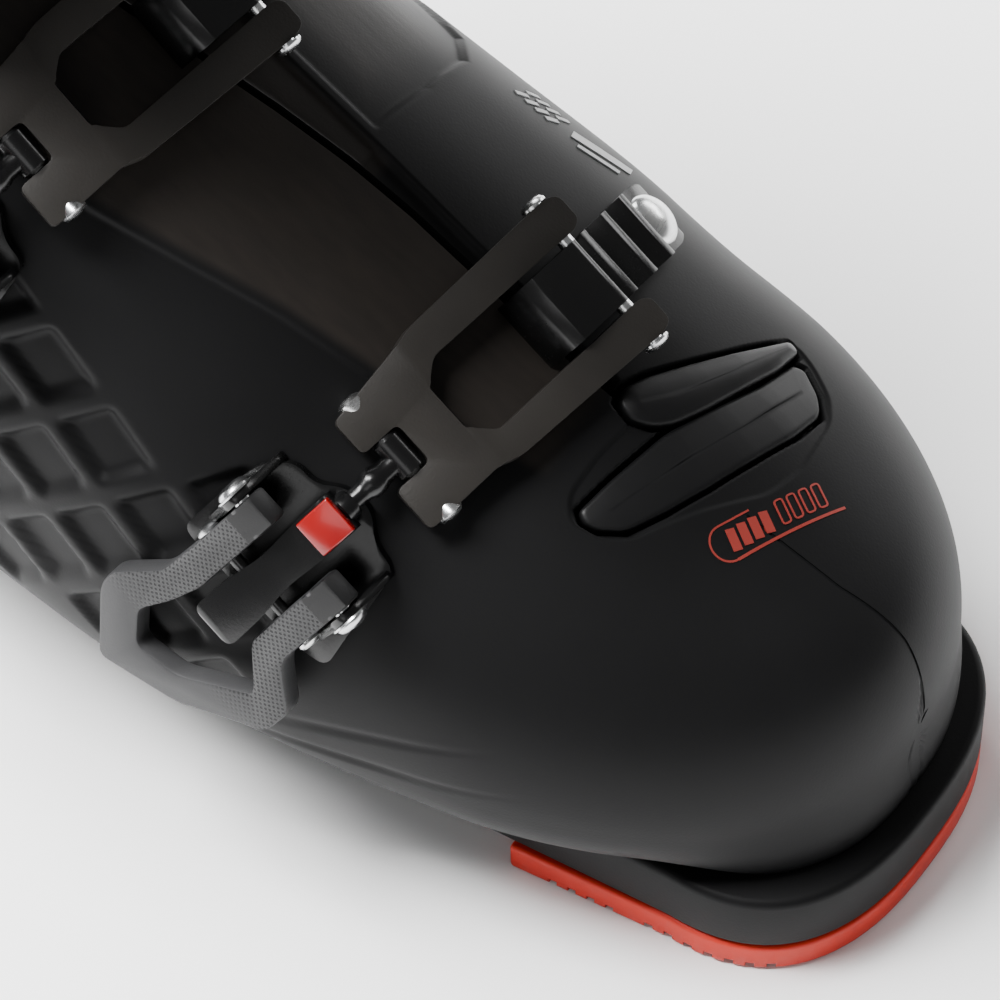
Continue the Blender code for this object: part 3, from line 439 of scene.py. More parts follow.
class Nodes:
    """A small helper that writes one material's node tree."""

    def __init__(self, name):
        self.material = bpy.data.materials.new(name)
        self.material.use_nodes = True
        self.tree = self.material.node_tree
        self.shader = self.tree.nodes["Principled BSDF"]
        self.place = self.add("ShaderNodeTexCoord").outputs["Object"]

    def add(self, kind, **settings):
        node = self.tree.nodes.new(kind)
        for key, value in settings.items():
            setattr(node, key, value)
        return node

    def put(self, value, socket):
        if isinstance(value, bpy.types.NodeSocket):
            self.tree.links.new(value, socket)
        else:
            socket.default_value = value

    def math(self, operation, a, b=0.0):
        node = self.add("ShaderNodeMath", operation=operation)
        self.put(a, node.inputs[0])
        self.put(b, node.inputs[1])
        return node.outputs[0]

    def stretched(self, scale):
        node = self.add("ShaderNodeMapping")
        self.put(self.place, node.inputs["Vector"])
        node.inputs["Scale"].default_value = scale
        return node.outputs["Vector"]

    def noise(self, scale, detail=3.0, place=None):
        """Noise with a feature size of 1/scale metres."""
        node = self.add("ShaderNodeTexNoise")
        self.put(place or self.place, node.inputs["Vector"])
        node.inputs["Scale"].default_value = scale
        node.inputs["Detail"].default_value = detail
        return node.outputs["Fac"]

    def cells(self, scale):
        node = self.add("ShaderNodeTexVoronoi")
        self.put(self.place, node.inputs["Vector"])
        node.inputs["Scale"].default_value = scale
        return node.outputs["Distance"]

    def between(self, amount, low, high):
        """low to high as amount goes from 0 to 1."""
        node = self.add("ShaderNodeMapRange")
        self.put(amount, node.inputs["Value"])
        node.inputs["To Min"].default_value = low
        node.inputs["To Max"].default_value = high
        return node.outputs["Result"]

    def threshold(self, value, low, high):
        """0 below low, 1 above high."""
        node = self.add("ShaderNodeMapRange", interpolation_type="SMOOTHSTEP")
        self.put(value, node.inputs["Value"])
        node.inputs["From Min"].default_value = low
        node.inputs["From Max"].default_value = high
        return node.outputs["Result"]

    def mixed(self, amount, a, b):
        node = self.add("ShaderNodeMix", data_type="RGBA")
        self.put(amount, node.inputs["Factor"])
        self.put((*a, 1) if isinstance(a, tuple) else a, node.inputs["A"])
        self.put((*b, 1) if isinstance(b, tuple) else b, node.inputs["B"])
        return node.outputs["Result"]

    def flat_waves(self, pitch):
        """Sines, pitch millimetres long, along a piece's two flat coordinates, and the second coordinate."""
        parts = self.add("ShaderNodeSeparateXYZ")
        self.put(self.add("ShaderNodeUVMap", uv_map="flat").outputs["UV"], parts.inputs[0])
        step = 2 * pi / pitch
        across = self.math("SINE", self.math("MULTIPLY", parts.outputs["X"], step))
        down = self.math("SINE", self.math("MULTIPLY", parts.outputs["Y"], step))
        return across, down, parts.outputs["Y"]

    def attribute(self, name):
        return self.add("ShaderNodeAttribute", attribute_name=name).outputs["Fac"]

    def bump(self, height, depth, normal=None):
        """A bump whose full height is depth, in metres."""
        node = self.add("ShaderNodeBump")
        self.put(height, node.inputs["Height"])
        node.inputs["Distance"].default_value = depth
        if normal is not None:
            self.put(normal, node.inputs["Normal"])
        return node.outputs["Normal"]

    def surface(self, colour, roughness, normal=None, **more):
        self.put((*colour, 1) if isinstance(colour, tuple) else colour, self.shader.inputs["Base Color"])
        self.put(roughness, self.shader.inputs["Roughness"])
        if normal is not None:
            self.put(normal, self.shader.inputs["Normal"])
        for key, value in more.items():
            self.put(value, self.shader.inputs[key.replace("_", " ")])
        return self.material


def moulded(name, dark, light, roughness, grain, depth, **more):
    """Moulded plastic: a faint grain, soft blotches in its colour and a roughness that varies with them."""
    n = Nodes(name)
    blotch = n.noise(35, 4)
    fine = n.noise(grain, 4)
    colour = n.mixed(n.threshold(blotch, 0.3, 0.7), dark, light)
    rough = n.math("ADD", n.between(blotch, roughness - 0.05, roughness + 0.05), n.between(fine, -0.05, 0.05))
    return n.surface(colour, rough, n.bump(fine, depth), **more)


def shell_plastic():
    """Satin shell plastic, brushed to a lower roughness beside the overlap and in the panel behind it, with a
    painted warm sheen there.
    """
    n = Nodes("shell_plastic")
    blotch = n.noise(24, 5)
    grain = n.noise(2600, 3)
    pores = n.cells(1900)
    base = n.mixed(n.threshold(blotch, 0.3, 0.75), (0.0036, 0.0036, 0.0038), (0.0052, 0.0052, 0.0055))
    brushed_sheen = n.attribute("brushed_sheen")
    hair = n.noise(260, 6, n.stretched((0.12, 2.2, 1.0)))
    sheen_strokes = n.math("MULTIPLY", brushed_sheen, n.between(hair, 0.45, 1.0))
    # painted sheen: the brushed strip and panel are lightened to a warm tone that stands in for their
    # highlight
    colour = n.mixed(sheen_strokes, base, (0.0230, 0.0196, 0.0170))
    rough = n.between(blotch, 0.46, 0.54)
    rough = n.math("SUBTRACT", rough, n.math("MULTIPLY", sheen_strokes, 0.12))
    lumps = n.math("ADD", grain, n.math("MULTIPLY", pores, 0.6))
    normal = n.bump(lumps, 0.000014, n.bump(n.math("MULTIPLY", hair, brushed_sheen), 0.00003))
    return n.surface(colour, rough, normal, Specular_IOR_Level=0.1)


def lever_metal():
    """Grey coated lever with a fine grid of dots that fades out towards its free end."""
    n = Nodes("lever_metal")
    across, down, length = n.flat_waves(DOT_PITCH)
    dots = n.threshold(n.math("MULTIPLY", across, down), 0.15, 0.6)
    zone = n.math("MULTIPLY", n.threshold(length, *DOT_FADE), n.attribute("dotted"))
    head = n.threshold(length, HEAD_START, HEAD_START + 0.3)
    dots = n.math("MULTIPLY", dots, n.math("MULTIPLY", zone, n.math("SUBTRACT", 1.0, head)))
    fine = n.noise(3000, 3)
    wear = n.threshold(n.noise(60, 5), 0.45, 0.8)
    base = n.mixed(wear, (0.030, 0.030, 0.031), (0.041, 0.041, 0.042))
    base = n.mixed(head, base, (0.007, 0.007, 0.0073))
    colour = n.mixed(n.math("MULTIPLY", dots, 0.8), base, (0.006, 0.006, 0.0063))
    rough = n.math("ADD", n.between(fine, 0.40, 0.52), n.math("MULTIPLY", dots, 0.15))
    normal = n.bump(n.math("MULTIPLY", dots, -1.0), 0.00018, n.bump(fine, 0.00003))
    return n.surface(colour, rough, normal, Specular_IOR_Level=0.25)


def woven(name, dark, light, pitch, depth, roughness):
    """A plain weave with threads pitch millimetres apart, in the piece's own flat coordinates."""
    n = Nodes(name)
    weft, warp, _ = n.flat_waves(pitch)
    over = n.between(n.math("MULTIPLY", weft, warp), 0.0, 0.5)
    weave = n.math("ADD", n.math("MULTIPLY", n.math("ABSOLUTE", weft), 0.5), over)
    fuzz = n.noise(1800, 5)
    height = n.math("ADD", weave, n.math("MULTIPLY", fuzz, 0.5))
    shade = n.mixed(n.threshold(height, 0.3, 1.1), dark, light)
    rough = n.between(fuzz, roughness - 0.08, roughness + 0.08)
    return n.surface(shade, rough, n.bump(height, depth), Specular_IOR_Level=0.12,
                     Sheen_Weight=0.02, Sheen_Roughness=0.5)


def zinc_plate():
    """Bright plated steel with fine scratches and duller spots."""
    n = Nodes("zinc_plate")
    scratch = n.noise(900, 6, n.stretched((1.0, 0.15, 1.0)))
    spots = n.noise(140, 5)
    colour = n.mixed(n.threshold(spots, 0.35, 0.75), (0.58, 0.59, 0.60), (0.72, 0.72, 0.71))
    rough = n.math("ADD", n.between(scratch, 0.16, 0.34), n.between(spots, -0.03, 0.05))
    return n.surface(colour, rough, n.bump(scratch, 0.000003), Metallic=1.0)


def make_materials():
    """All the materials by their short names."""
    found = {"shell": shell_plastic(), "lever": lever_metal(), "zinc": zinc_plate()}
    for key, (name, dark, light, roughness, grain, depth, more) in PLASTICS.items():
        found[key] = moulded(name, dark, light, roughness, grain, depth, **more)
    for key, (name, dark, light, pitch, depth, roughness) in FABRICS.items():
        found[key] = woven(name, dark, light, pitch, depth, roughness)
    return found


MATERIALS = make_materials()

# ---------------------------------------------------------------- building blocks


def finish(made, name, skin, body, stands_for=(), slot=None, crease=32):
    """Names a piece, gives it its material and body, and hides the CAD nodes it stands for."""
    made.name = name
    made.data.name = name
    made.data.materials.clear()
    made.data.materials.append(MATERIALS[skin])
    bpy.context.scene.collection.objects.link(made)
    made.data.shade_smooth()
    made.data.set_sharp_from_angle(angle=radians(crease))
    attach(made, body)
    if stands_for:
        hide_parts(*stands_for)
    return made


def mesh_from(build, name="part"):
    """A new object, not yet in any collection, from a function that fills a bmesh."""
    mesh = bpy.data.meshes.new(name)
    work = bmesh.new()
    build(work)
    outwards(work)
    work.to_mesh(mesh)
    work.free()
    return bpy.data.objects.new(name, mesh)


def grid_mesh(points, around, capped=False):
    """A quad sheet from rows of boot coordinates; around joins each row's ends, capped fills the end rows."""
    rows, columns = points.shape[:2]
    mesh = bpy.data.meshes.new("grid")
    flat = ((points.reshape(-1, 3) - np.array(ORIGIN)) * MM).tolist()
    index = np.arange(rows * columns).reshape(rows, columns)
    nxt = np.roll(index, -1, axis=1)
    last = columns if around else columns - 1
    quads = np.stack([index[:-1, :last], nxt[:-1, :last], nxt[1:, :last], index[1:, :last]], axis=-1)
    faces = quads.reshape(-1, 4).tolist()
    if capped:
        faces += [index[0][::-1].tolist(), index[-1].tolist()]
    mesh.from_pydata(flat, [], faces)
    return edited(bpy.data.objects.new("grid", mesh), outwards)


def loft(rings, capped=True):
    """A skin through rings of boot coordinates."""
    return grid_mesh(np.array([[tuple(p) for p in points] for points in rings]), True, capped)


def evaluated_copy(made):
    """A new mesh of the object as its modifiers or its curve settings make it."""
    graph = bpy.context.evaluated_depsgraph_get()
    return bpy.data.meshes.new_from_object(made.evaluated_get(graph))


def baked(made):
    """The object with its modifiers applied."""
    bpy.context.scene.collection.objects.link(made)
    bpy.context.view_layer.update()
    mesh = evaluated_copy(made)
    old = made.data
    made.modifiers.clear()
    made.data = mesh
    bpy.data.meshes.remove(old)
    bpy.context.scene.collection.objects.unlink(made)
    return made


def edited(made, change):
    """The object after a function has changed its mesh as a bmesh."""
    work = bmesh.new()
    work.from_mesh(made.data)
    change(work)
    work.to_mesh(made.data)
    work.free()
    return made


def outwards(work):
    """Turns all the faces of a bmesh outwards."""
    bmesh.ops.recalc_face_normals(work, faces=work.faces)


def prism(outline, low, high, holes=()):
    """A plate whose outline is (x, y) points and whose faces are at two heights z, in millimetres."""
    curve = bpy.data.curves.new("outline", "CURVE")
    curve.dimensions = "2D"
    curve.fill_mode = "BOTH"
    curve.extrude = (high - low) / 2 * MM
    for points in (outline, *holes):
        line = curve.splines.new("POLY")
        line.points.add(len(points) - 1)
        line.use_cyclic_u = True
        for point, (x, y) in zip(line.points, points):
            point.co = (x * MM, y * MM, 0, 1)
    flat = bpy.data.objects.new("outline", curve)
    bpy.context.scene.collection.objects.link(flat)
    mesh = evaluated_copy(flat)
    bpy.data.objects.remove(flat)
    bpy.data.curves.remove(curve)

    def clean(work):
        bmesh.ops.remove_doubles(work, verts=work.verts, dist=WELD)
        bmesh.ops.dissolve_limit(work, angle_limit=radians(0.5), verts=work.verts, edges=work.edges)
        bmesh.ops.translate(work, verts=work.verts, vec=(0, 0, (low + high) / 2 * MM))
        outwards(work)

    return edited(bpy.data.objects.new("plate", mesh), clean)


def oblong(x0, x1, y0, y1):
    """The corners of an upright rectangle."""
    return [(x0, y0), (x1, y0), (x1, y1), (x0, y1)]


def rod(radius, low, high, sides=40):
    """A round bar along z between two heights, in millimetres."""

    def build(work):
        bmesh.ops.create_cone(
            work, cap_ends=True, segments=sides, radius1=radius * MM, radius2=radius * MM,
            depth=(high - low) * MM, matrix=Matrix.Translation((0, 0, (low + high) / 2 * MM)),
        )

    return mesh_from(build)


def turned(profile, sides=48):
    """A solid turned about z from (radius, height) points, end to end, in millimetres."""
    rings = []
    for r, z in [(0.01, profile[0][1]), *profile, (0.01, profile[-1][1])]:
        rings.append([(r * cos(2 * pi * i / sides), r * sin(2 * pi * i / sides), z) for i in range(sides)])
    return loft([[Vector(p) + ORIGIN for p in points] for points in rings])


def moved(made, matrix):
    """The object with its mesh carried along by a matrix."""
    made.data.transform(matrix)
    return made


def combine(first, second, operation):
    """first with second cut from it, or kept only where they meet."""
    bpy.context.scene.collection.objects.link(second)
    boolean = first.modifiers.new(operation.lower(), "BOOLEAN")
    boolean.operation = operation
    boolean.object = second
    baked(first)
    bpy.data.objects.remove(second)
    return first


def cut(first, *others):
    """first with each of the others cut from it."""
    for other in others:
        combine(first, other, "DIFFERENCE")
    return first


def together(*pieces):
    """One object from several closed solids, without a Boolean."""
    work = bmesh.new()
    for piece in pieces:
        work.from_mesh(piece.data)
        bpy.data.objects.remove(piece)
    mesh = bpy.data.meshes.new("together")
    work.to_mesh(mesh)
    work.free()
    return bpy.data.objects.new("together", mesh)


def bevelled(made, width, segments=3):
    """The object with its sharp edges rounded."""
    bevel = made.modifiers.new("edges", "BEVEL")
    bevel.width = width * MM
    bevel.segments = segments
    bevel.limit_method = "ANGLE"
    bevel.angle_limit = radians(BEVEL_ANGLE)
    return baked(made)


def rounded(outline, radius, steps=5, cyclic=True):
    """The outline with each corner replaced by an arc that starts at most radius before it."""
    found = []
    count = len(outline)
    for i, corner in enumerate(outline):
        if not cyclic and i in (0, count - 1):
            found.append(tuple(corner))
            continue
        p = Vector(corner)
        a, b = Vector(outline[i - 1]) - p, Vector(outline[(i + 1) % count]) - p
        reach = min(radius, a.length * 0.45, b.length * 0.45)
        start, end = p + a.normalized() * reach, p + b.normalized() * reach
        for k in range(steps + 1):
            t = k / steps
            found.append(tuple(start * (1 - t) ** 2 + p * 2 * t * (1 - t) + end * t**2))
    return found


def axes(x, y, z, origin=(0, 0, 0)):
    """The matrix whose columns are three directions and an origin in millimetres."""
    matrix = Matrix((x, y, z)).transposed().to_4x4()
    matrix.translation = Vector(origin) * MM
    return matrix


def along_pins(centre=(0, 0), side=1):
    """Axes whose z runs along a buckle's pins from (u, w): towards the toe, or the heel with side -1."""
    return axes((0, side, 0), (0, 0, 1), (side, 0, 0), (0, *centre))


SIDE = along_pins()


def boot_place(x, y, z):
    """The matrix that carries the frame's origin to boot coordinates."""
    return Matrix.Translation((Vector((x, y, z)) - ORIGIN) * MM)


def flat_uv(made, matrix):
    """Flat coordinates in millimetres, taken in the axes of matrix, for the weave and dot patterns."""
    layer = made.data.uv_layers.new(name="flat")
    back = matrix.inverted()
    for loop in made.data.loops:
        p = back @ made.data.vertices[loop.vertex_index].co
        layer.data[loop.index].uv = (p.x / MM, p.y / MM)
    return made


# ---------------------------------------------------------------- foot shell surface


def spread(values, share):
    """The value at a share, 0 to 1, of a smooth curve through evenly spaced values (Catmull-Rom)."""
    place = share * (len(values) - 1)
    i = min(int(place), len(values) - 2)
    t = place - i
    before = values[i - 1] if i else 2 * values[0] - values[1]
    after = values[i + 2] if i + 2 < len(values) else 2 * values[-1] - values[-2]
    a, b = values[i], values[i + 1]
    return 0.5 * (
        2 * a
        + (b - before) * t
        + (2 * before - 5 * a + 4 * b - after) * t * t
        + (3 * a - before - 3 * b + after) * t**3
    )


def shell_section(share):
    """One section of the foot shell, from the toe blend, 0, to the ankle opening, 1."""
    flat = [(*low, *high, *rest) for low, high, *rest in SHELL_SECTIONS]
    return tuple(spread(column, share) for column in zip(*flat))


def toe_section(x):
    """The upright section of the toe box at x."""
    reach = (x - TOE_BLEND_X) / (SHELL_TIP - TOE_BLEND_X)
    lat_wide = (1 - reach**TOE_LATERAL_POWER) ** (1 / 2.1)
    med_wide = (1 - reach**TOE_MEDIAL_POWER) ** (1 / 2.1)
    high = (1 - reach**14) ** (1 / 2.2)
    _, (_, z_blend), lat, med, low, *squares = SHELL_SECTIONS[0]
    middle = 36.0
    top = z_blend + (x - TOE_BLEND_X) * (TOE_WALL_TOP - z_blend) / (SHELL_TIP - TOE_BLEND_X)
    z0 = middle - (middle - SHELL_FLOOR) * high
    z1 = middle + (top - middle) * high
    return (x, z0, x, z1, lat * lat_wide, med * med_wide, low + (0.4 - low) * reach, *squares)


def ring_points(section, angles, inset=0.0):
    """Points of a section at angles from the sole, 0, over the inner side to the top, pi, and back, 2 pi."""
    x0, z0, x1, z1, lat, med, low, square_low, square_lat, square_med = section
    height = hypot(x1 - x0, z1 - z0)
    side, rise = np.sin(angles), -np.cos(angles)
    square = np.where(rise < 0, square_low, np.where(side > 0, square_med, square_lat))
    half = np.maximum(np.where(side > 0, med, lat) - inset, 0.5)
    reach = np.maximum(np.where(rise < 0, low, 1 - low) * height - inset, 0.5)
    y = half * np.abs(side) ** (2 / square) * np.sign(side)
    w = low * height + reach * np.abs(rise) ** (2 / square) * np.sign(rise)
    return np.stack([x0 + (x1 - x0) / height * w, y, z0 + (z1 - z0) / height * w], axis=-1)


def toe_top(x, y):
    """Height of the toe box over (x, y), for an x in front of the toe blend."""
    _, z0, _, z1, lat, med, low, _, square_lat, square_med = toe_section(x)
    half, square = (med, square_med) if y > 0 else (lat, square_lat)
    share = min(abs(y) / half, 0.999)
    return z0 + low * (z1 - z0) + (1 - low) * (z1 - z0) * (1 - share**square) ** (1 / square)


def toe_normal(x, y):
    """The direction out of the toe box over (x, y)."""
    step = 0.5
    dx = (toe_top(x + step, y) - toe_top(x - step, y)) / (2 * step)
    dy = (toe_top(x, y + step) - toe_top(x, y - step)) / (2 * step)
    return Vector((-dx, -dy, 1)).normalized()


def lap_angle(section, y):
    """The ring angle at which a section's top passes y."""
    lat, med, square_lat, square_med = section[4], section[5], section[8], section[9]
    half, square = (med, square_med) if y > 0 else (lat, square_lat)
    share = min(abs(y) / half, 0.6)
    turn = asin(share ** (square / 2))
    return pi - turn if y > 0 else pi + turn


def shell_sections(fine):
    """Sections from the toe tip back to the ankle opening, close together where there is fine detail."""
    step = 0.3 if fine else 3.0
    tips = [SHELL_TIP - (SHELL_TIP - 272) * (k / 40) ** 2 for k in range(1, 41)]
    tips += list(np.arange(272 - step, TOE_BLEND_X, -step))
    sections = [toe_section(SHELL_TIP - 0.02)] + [toe_section(x) for x in tips]
    front_share = 4 / (len(SHELL_SECTIONS) - 1)
    front, rear = (170, 170) if fine else (30, 40)
    sections += [shell_section(front_share * i / front) for i in range(front)]
    sections += [shell_section(front_share + (1 - front_share) * i / rear) for i in range(rear + 1)]
    return sections


def column_angles(section, narrow):
    """Ring angles whose middle columns follow the overlap line exactly."""
    lap = along(LAP_LINE, section[2])
    inner = lap_angle(section, lap + LAP_OFFSETS[0] * narrow)
    outer = lap_angle(section, lap + LAP_OFFSETS[-1] * narrow)
    columns = list(np.linspace(0, inner - TOP_REACH, INNER_COLUMNS, endpoint=False))
    columns += list(np.linspace(inner - TOP_REACH, inner, TOP_COLUMNS, endpoint=False))
    columns += [lap_angle(section, lap + offset * narrow) for offset in LAP_OFFSETS]
    columns += list(np.linspace(outer, outer + TOP_REACH, TOP_COLUMNS, endpoint=False))[1:]
    columns += list(np.linspace(outer + TOP_REACH, 2 * pi, OUTER_COLUMNS, endpoint=False))
    return np.array(columns)


def inside_distance(points, outline):
    """Distance of (x, y) points from an outline, positive inside it."""
    corners = np.array(outline)
    nearest = np.full(points.shape[:-1], 1e9)
    inside = np.zeros(points.shape[:-1], bool)
    for a, b in zip(corners, np.roll(corners, -1, axis=0)):
        edge = b - a
        t = np.clip(((points - a) @ edge) / (edge @ edge), 0, 1)
        nearest = np.minimum(nearest, np.linalg.norm(points - (a + t[..., None] * edge), axis=-1))
        crosses = (a[1] > points[..., 1]) != (b[1] > points[..., 1])
        at = a[0] + (points[..., 1] - a[1]) / (edge[1] if edge[1] else 1e-9) * edge[0]
        inside ^= crosses & (points[..., 0] < at)
    return np.where(inside, nearest, -nearest)


def diamonds(x, y, z):
    """Depth of the sunk diamonds on the outer side of the shell."""
    rise = z + 0.6 * (56.0 - np.abs(y))
    du, dv = x - DIAMOND_START[0], rise - DIAMOND_START[1]
    det = DIAMOND_A[0] * DIAMOND_B[1] - DIAMOND_A[1] * DIAMOND_B[0]
    p = (du * DIAMOND_B[1] - dv * DIAMOND_B[0]) / det
    q = (DIAMOND_A[0] * dv - DIAMOND_A[1] * du) / det
    fp, fq = p - np.floor(p), q - np.floor(q)
    middle_p = np.floor(p) + DIAMOND_SHARE / 2
    middle_q = np.floor(q) + DIAMOND_SHARE / 2
    at_x = DIAMOND_START[0] + middle_p * DIAMOND_A[0] + middle_q * DIAMOND_B[0]
    at_rise = DIAMOND_START[1] + middle_p * DIAMOND_A[1] + middle_q * DIAMOND_B[1]
    highest = 100 + DIAMOND_SLOPE * (at_x - 173)
    shown = (at_x > DIAMOND_X[0]) & (at_x < DIAMOND_X[1]) & (at_rise > DIAMOND_LOWEST) & (at_rise < highest)
    sharp = smooth(fp / DIAMOND_EDGE) * smooth(fq / DIAMOND_EDGE)
    soft = smooth((DIAMOND_SHARE - fp) / 0.2) * smooth((DIAMOND_SHARE - fq) / 0.2)
    return DIAMOND_DEPTH * sharp * soft * shown * (y < -25) * smooth((z - 18) / 8)


def streaks(x, y, z):
    """Depth of the long facets, which narrow towards the toe."""
    depth = 0.0
    for x0, x1, z0, z1 in STREAKS:
        t = (x - x0) / (x1 - x0)
        middle = z0 + (z1 - z0) * t
        width = STREAK_WIDTH * (1 - 0.7 * t)
        taper = smooth(t / 0.4) * smooth((1 - t) / 0.5)
        depth = depth + STREAK_DEPTH * taper * smooth(1 - np.abs(z - middle) / width)
    return depth * (y < -20)


def lap_narrow(x):
    """How much the overlap's groove has thinned into the moulding line at x."""
    return 1 - (1 - MOULD_WIDTH / LAP_WIDTH) * smooth((x - 244) / 8)


def lap_groove(x, z, offset, half):
    """Depth of the groove along the overlap, which goes on as the moulding line in front of the pad."""
    depth = np.where(x < TOE_BACK, LAP_DEPTH, MOULD_DEPTH) * smooth((x - LAP_START) / 40)
    under_pad = (x > 243) & (x < 269)
    depth = depth * np.where(under_pad, smooth((x - 268) / 1.0), 1.0)
    wall = smooth((half - np.abs(offset)) / (0.12 * half) + 1.0)
    return depth * wall * (np.abs(offset) < half * 0.95) * ((z > 46) | (x > 285))


def mould_line(x, y, z):
    """Depth of the moulding line where it runs down the front of the toe."""
    middle = np.interp(z, (19.0, 29.5, 45.0), (0.5, -1.5, 2.0))
    return MOULD_DEPTH * smooth(1.2 - np.abs(y - middle) / 0.4) * (x > 297) * (z < 46) * (z > 20)


def throat_pockets(above, z):
    """Depth of the crease in front of the overlap, and of the pockets that the pad and the beak lie in."""
    crease = smooth(inside_distance(above, rounded(CREASE, 2.2)) / CREASE_EDGE)
    pocket = np.maximum(inside_distance(above, PAD_OUTLINE), inside_distance(above, BEAK_OUTLINE))
    pocket = smooth((pocket + POCKET_GAP) / POCKET_EDGE)
    return (CREASE_DEPTH * crease + POCKET_DEPTH * pocket) * (z > SHELL_TOP - 2)


def sole_flares(x, z):
    """How far the shell swells towards the toe and heel lugs."""
    toe = np.clip((33.0 - z) / 14.0, 0, 1) * (z > 17)
    heel = np.clip((52.0 - z) / 22.0, 0, 1) * (z > 24)
    return TOE_FLARE * toe**2 * smooth((x - 272) / 20) + HEEL_FLARE * heel**2 * smooth((84 - x) / 30)


def shell_relief(points):
    """(outward displacement in millimetres, share of brushed finish with painted sheen) over the foot shell.
    """
    x, y, z = points[..., 0], points[..., 1], points[..., 2]
    above = points[..., :2]
    top = z > SHELL_TOP
    lap = along(LAP_LINE, x)
    offset = y - lap
    half = LAP_WIDTH / 2 * lap_narrow(x)
    strip = smooth((offset - half) / 0.15) * smooth((along(FLANGE_LINE, x) - lap - offset) / 1.3)
    strip = strip * smooth((243 - x) / 3) * top
    slit = np.exp(-(((x - SLIT_X) / 0.35) ** 2)) * strip
    step = y - along(STEP_LINE, x)
    outer_drop = smooth(-step / 1.0) * smooth((238 - x) / 14) * smooth((x - 90) / 30)
    panel_edge = inside_distance(above, PANEL)
    panel = smooth(panel_edge / 1.1) * top * (x > 140)
    move = sole_flares(x, z) - lap_groove(x, z, offset, half) - mould_line(x, y, z)
    move = move - strip * (FLANGE_STEP + 0.5 * smooth((x - SLIT_X) / 0.8)) - 0.5 * slit
    move = move - STEP_DROP * outer_drop * (y < 0) * smooth((z - 70) / 14) - PANEL_DEPTH * panel
    move = move - throat_pockets(above, z) - diamonds(x, y, z) - streaks(x, y, z)
    # brushed finish beside the overlap, on which the shader also paints a lighter warm sheen
    brushed_sheen = smooth((half - offset) / 0.4) * smooth(step / 2.0) * smooth((243 - x) / 4) * top
    brushed_sheen = np.maximum(brushed_sheen * (np.abs(offset) > half * 0.6), 0.75 * strip * smooth((200 - x) / 2))
    # the sunk panel gets the same brushed finish and painted sheen, lightest away from its edges
    brushed_sheen = np.maximum(brushed_sheen, 0.8 * panel * smooth((panel_edge - 1) / 9)) * smooth((x - 95) / 20)
    return move, brushed_sheen


def grid_normals(points):
    """Outward directions at a grid of points that closes round the foot."""
    along_rows = np.gradient(points, axis=0)
    wrapped = np.concatenate([points[:, -1:], points, points[:, :1]], axis=1)
    across = np.gradient(wrapped, axis=1)[:, 1:-1]
    normal = np.cross(across, along_rows)
    length = np.linalg.norm(normal, axis=-1, keepdims=True)
    normal = normal / np.maximum(length, 1e-9)
    middle = points.mean(axis=1, keepdims=True)
    facing = ((points - middle) * normal).sum(axis=-1).mean()
    return normal if facing > 0 else -normal


def eased_rows(points):
    """The surface with the change of section behind the toe box smoothed along the foot."""
    share = smooth((16 - np.abs(points[..., 0] - TOE_BLEND_X)) / 8)[1:-1, :, None]
    for _ in range(EASE_ROUNDS):
        points[1:-1] += 0.5 * share * ((points[2:] + points[:-2]) / 2 - points[1:-1])
    return points


def shell_skin():
    """The foot shell with its relief outside, a plain wall inside and a rounded rim at the ankle."""
    sections = shell_sections(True)
    outer = [ring_points(section, column_angles(section, lap_narrow(section[2]))) for section in sections]
    outer = eased_rows(np.array(outer))
    normals = grid_normals(outer)
    normals[:2] = (1.0, 0.0, 0.0)
    move, brushed_sheen = shell_relief(outer)
    move[:2] = 0
    outer = outer + normals * move[..., None]
    sections = shell_sections(False)[3:]
    inner = [ring_points(section, column_angles(section, 1.0), SHELL_WALL) for section in sections]
    inner = np.array(inner)[::-1]
    rim_middle = (outer[-1] + inner[0]) / 2 + np.array((0, 0, RIM_RISE))
    rows = np.concatenate([outer, rim_middle[None], inner])
    made = grid_mesh(rows, True, True)
    # the shares of brushed finish and painted sheen go to the shader as a point attribute
    shades = np.zeros(rows.shape[:2])
    shades[: len(outer)] = brushed_sheen
    layer = made.data.attributes.new("brushed_sheen", "FLOAT", "POINT")
    layer.data.foreach_set("value", shades.reshape(-1).astype(np.float32))
    return made


# ---------------------------------------------------------------- sole


def sole_outline(half, tip, back, steps=48):
    """The rounded toe of the sole, with sides that flare a little backwards."""
    outline = []
    for i in range(steps + 1):
        angle = -pi / 2 + pi * i / steps
        x = tip - TOE_SOLE_DEPTH * (1 - abs(cos(angle)) ** 0.8)
        y = half * abs(sin(angle)) ** 0.8 * (1 if angle > 0 else -1)
        outline.append((x, y))
    side = half + TOE_SOLE_FLARE
    return [(back, -side), *outline, (back, side)]


def heel_outline(half, front, steps=40):
    """The heel of the sole, round at the back."""
    outline = []
    for i in range(steps + 1):
        angle = pi / 2 + pi * i / steps
        x = HEEL_SOLE_DEPTH * (1 - abs(cos(angle)) ** 0.85)
        y = half * abs(sin(angle)) ** 0.85 * (1 if angle < pi else -1)
        outline.append((x, y))
    return [*outline, (front, -half), (front, half)]


def both_sides(halves):
    """A closed outline from (x, half width) points along the boot's middle."""
    return [(x, -half) for x, half in halves] + [(x, half) for x, half in reversed(halves)]


def in_boot(plate):
    """A plate drawn in boot coordinates, moved to the frame."""
    return moved(plate, boot_place(0, 0, 0))


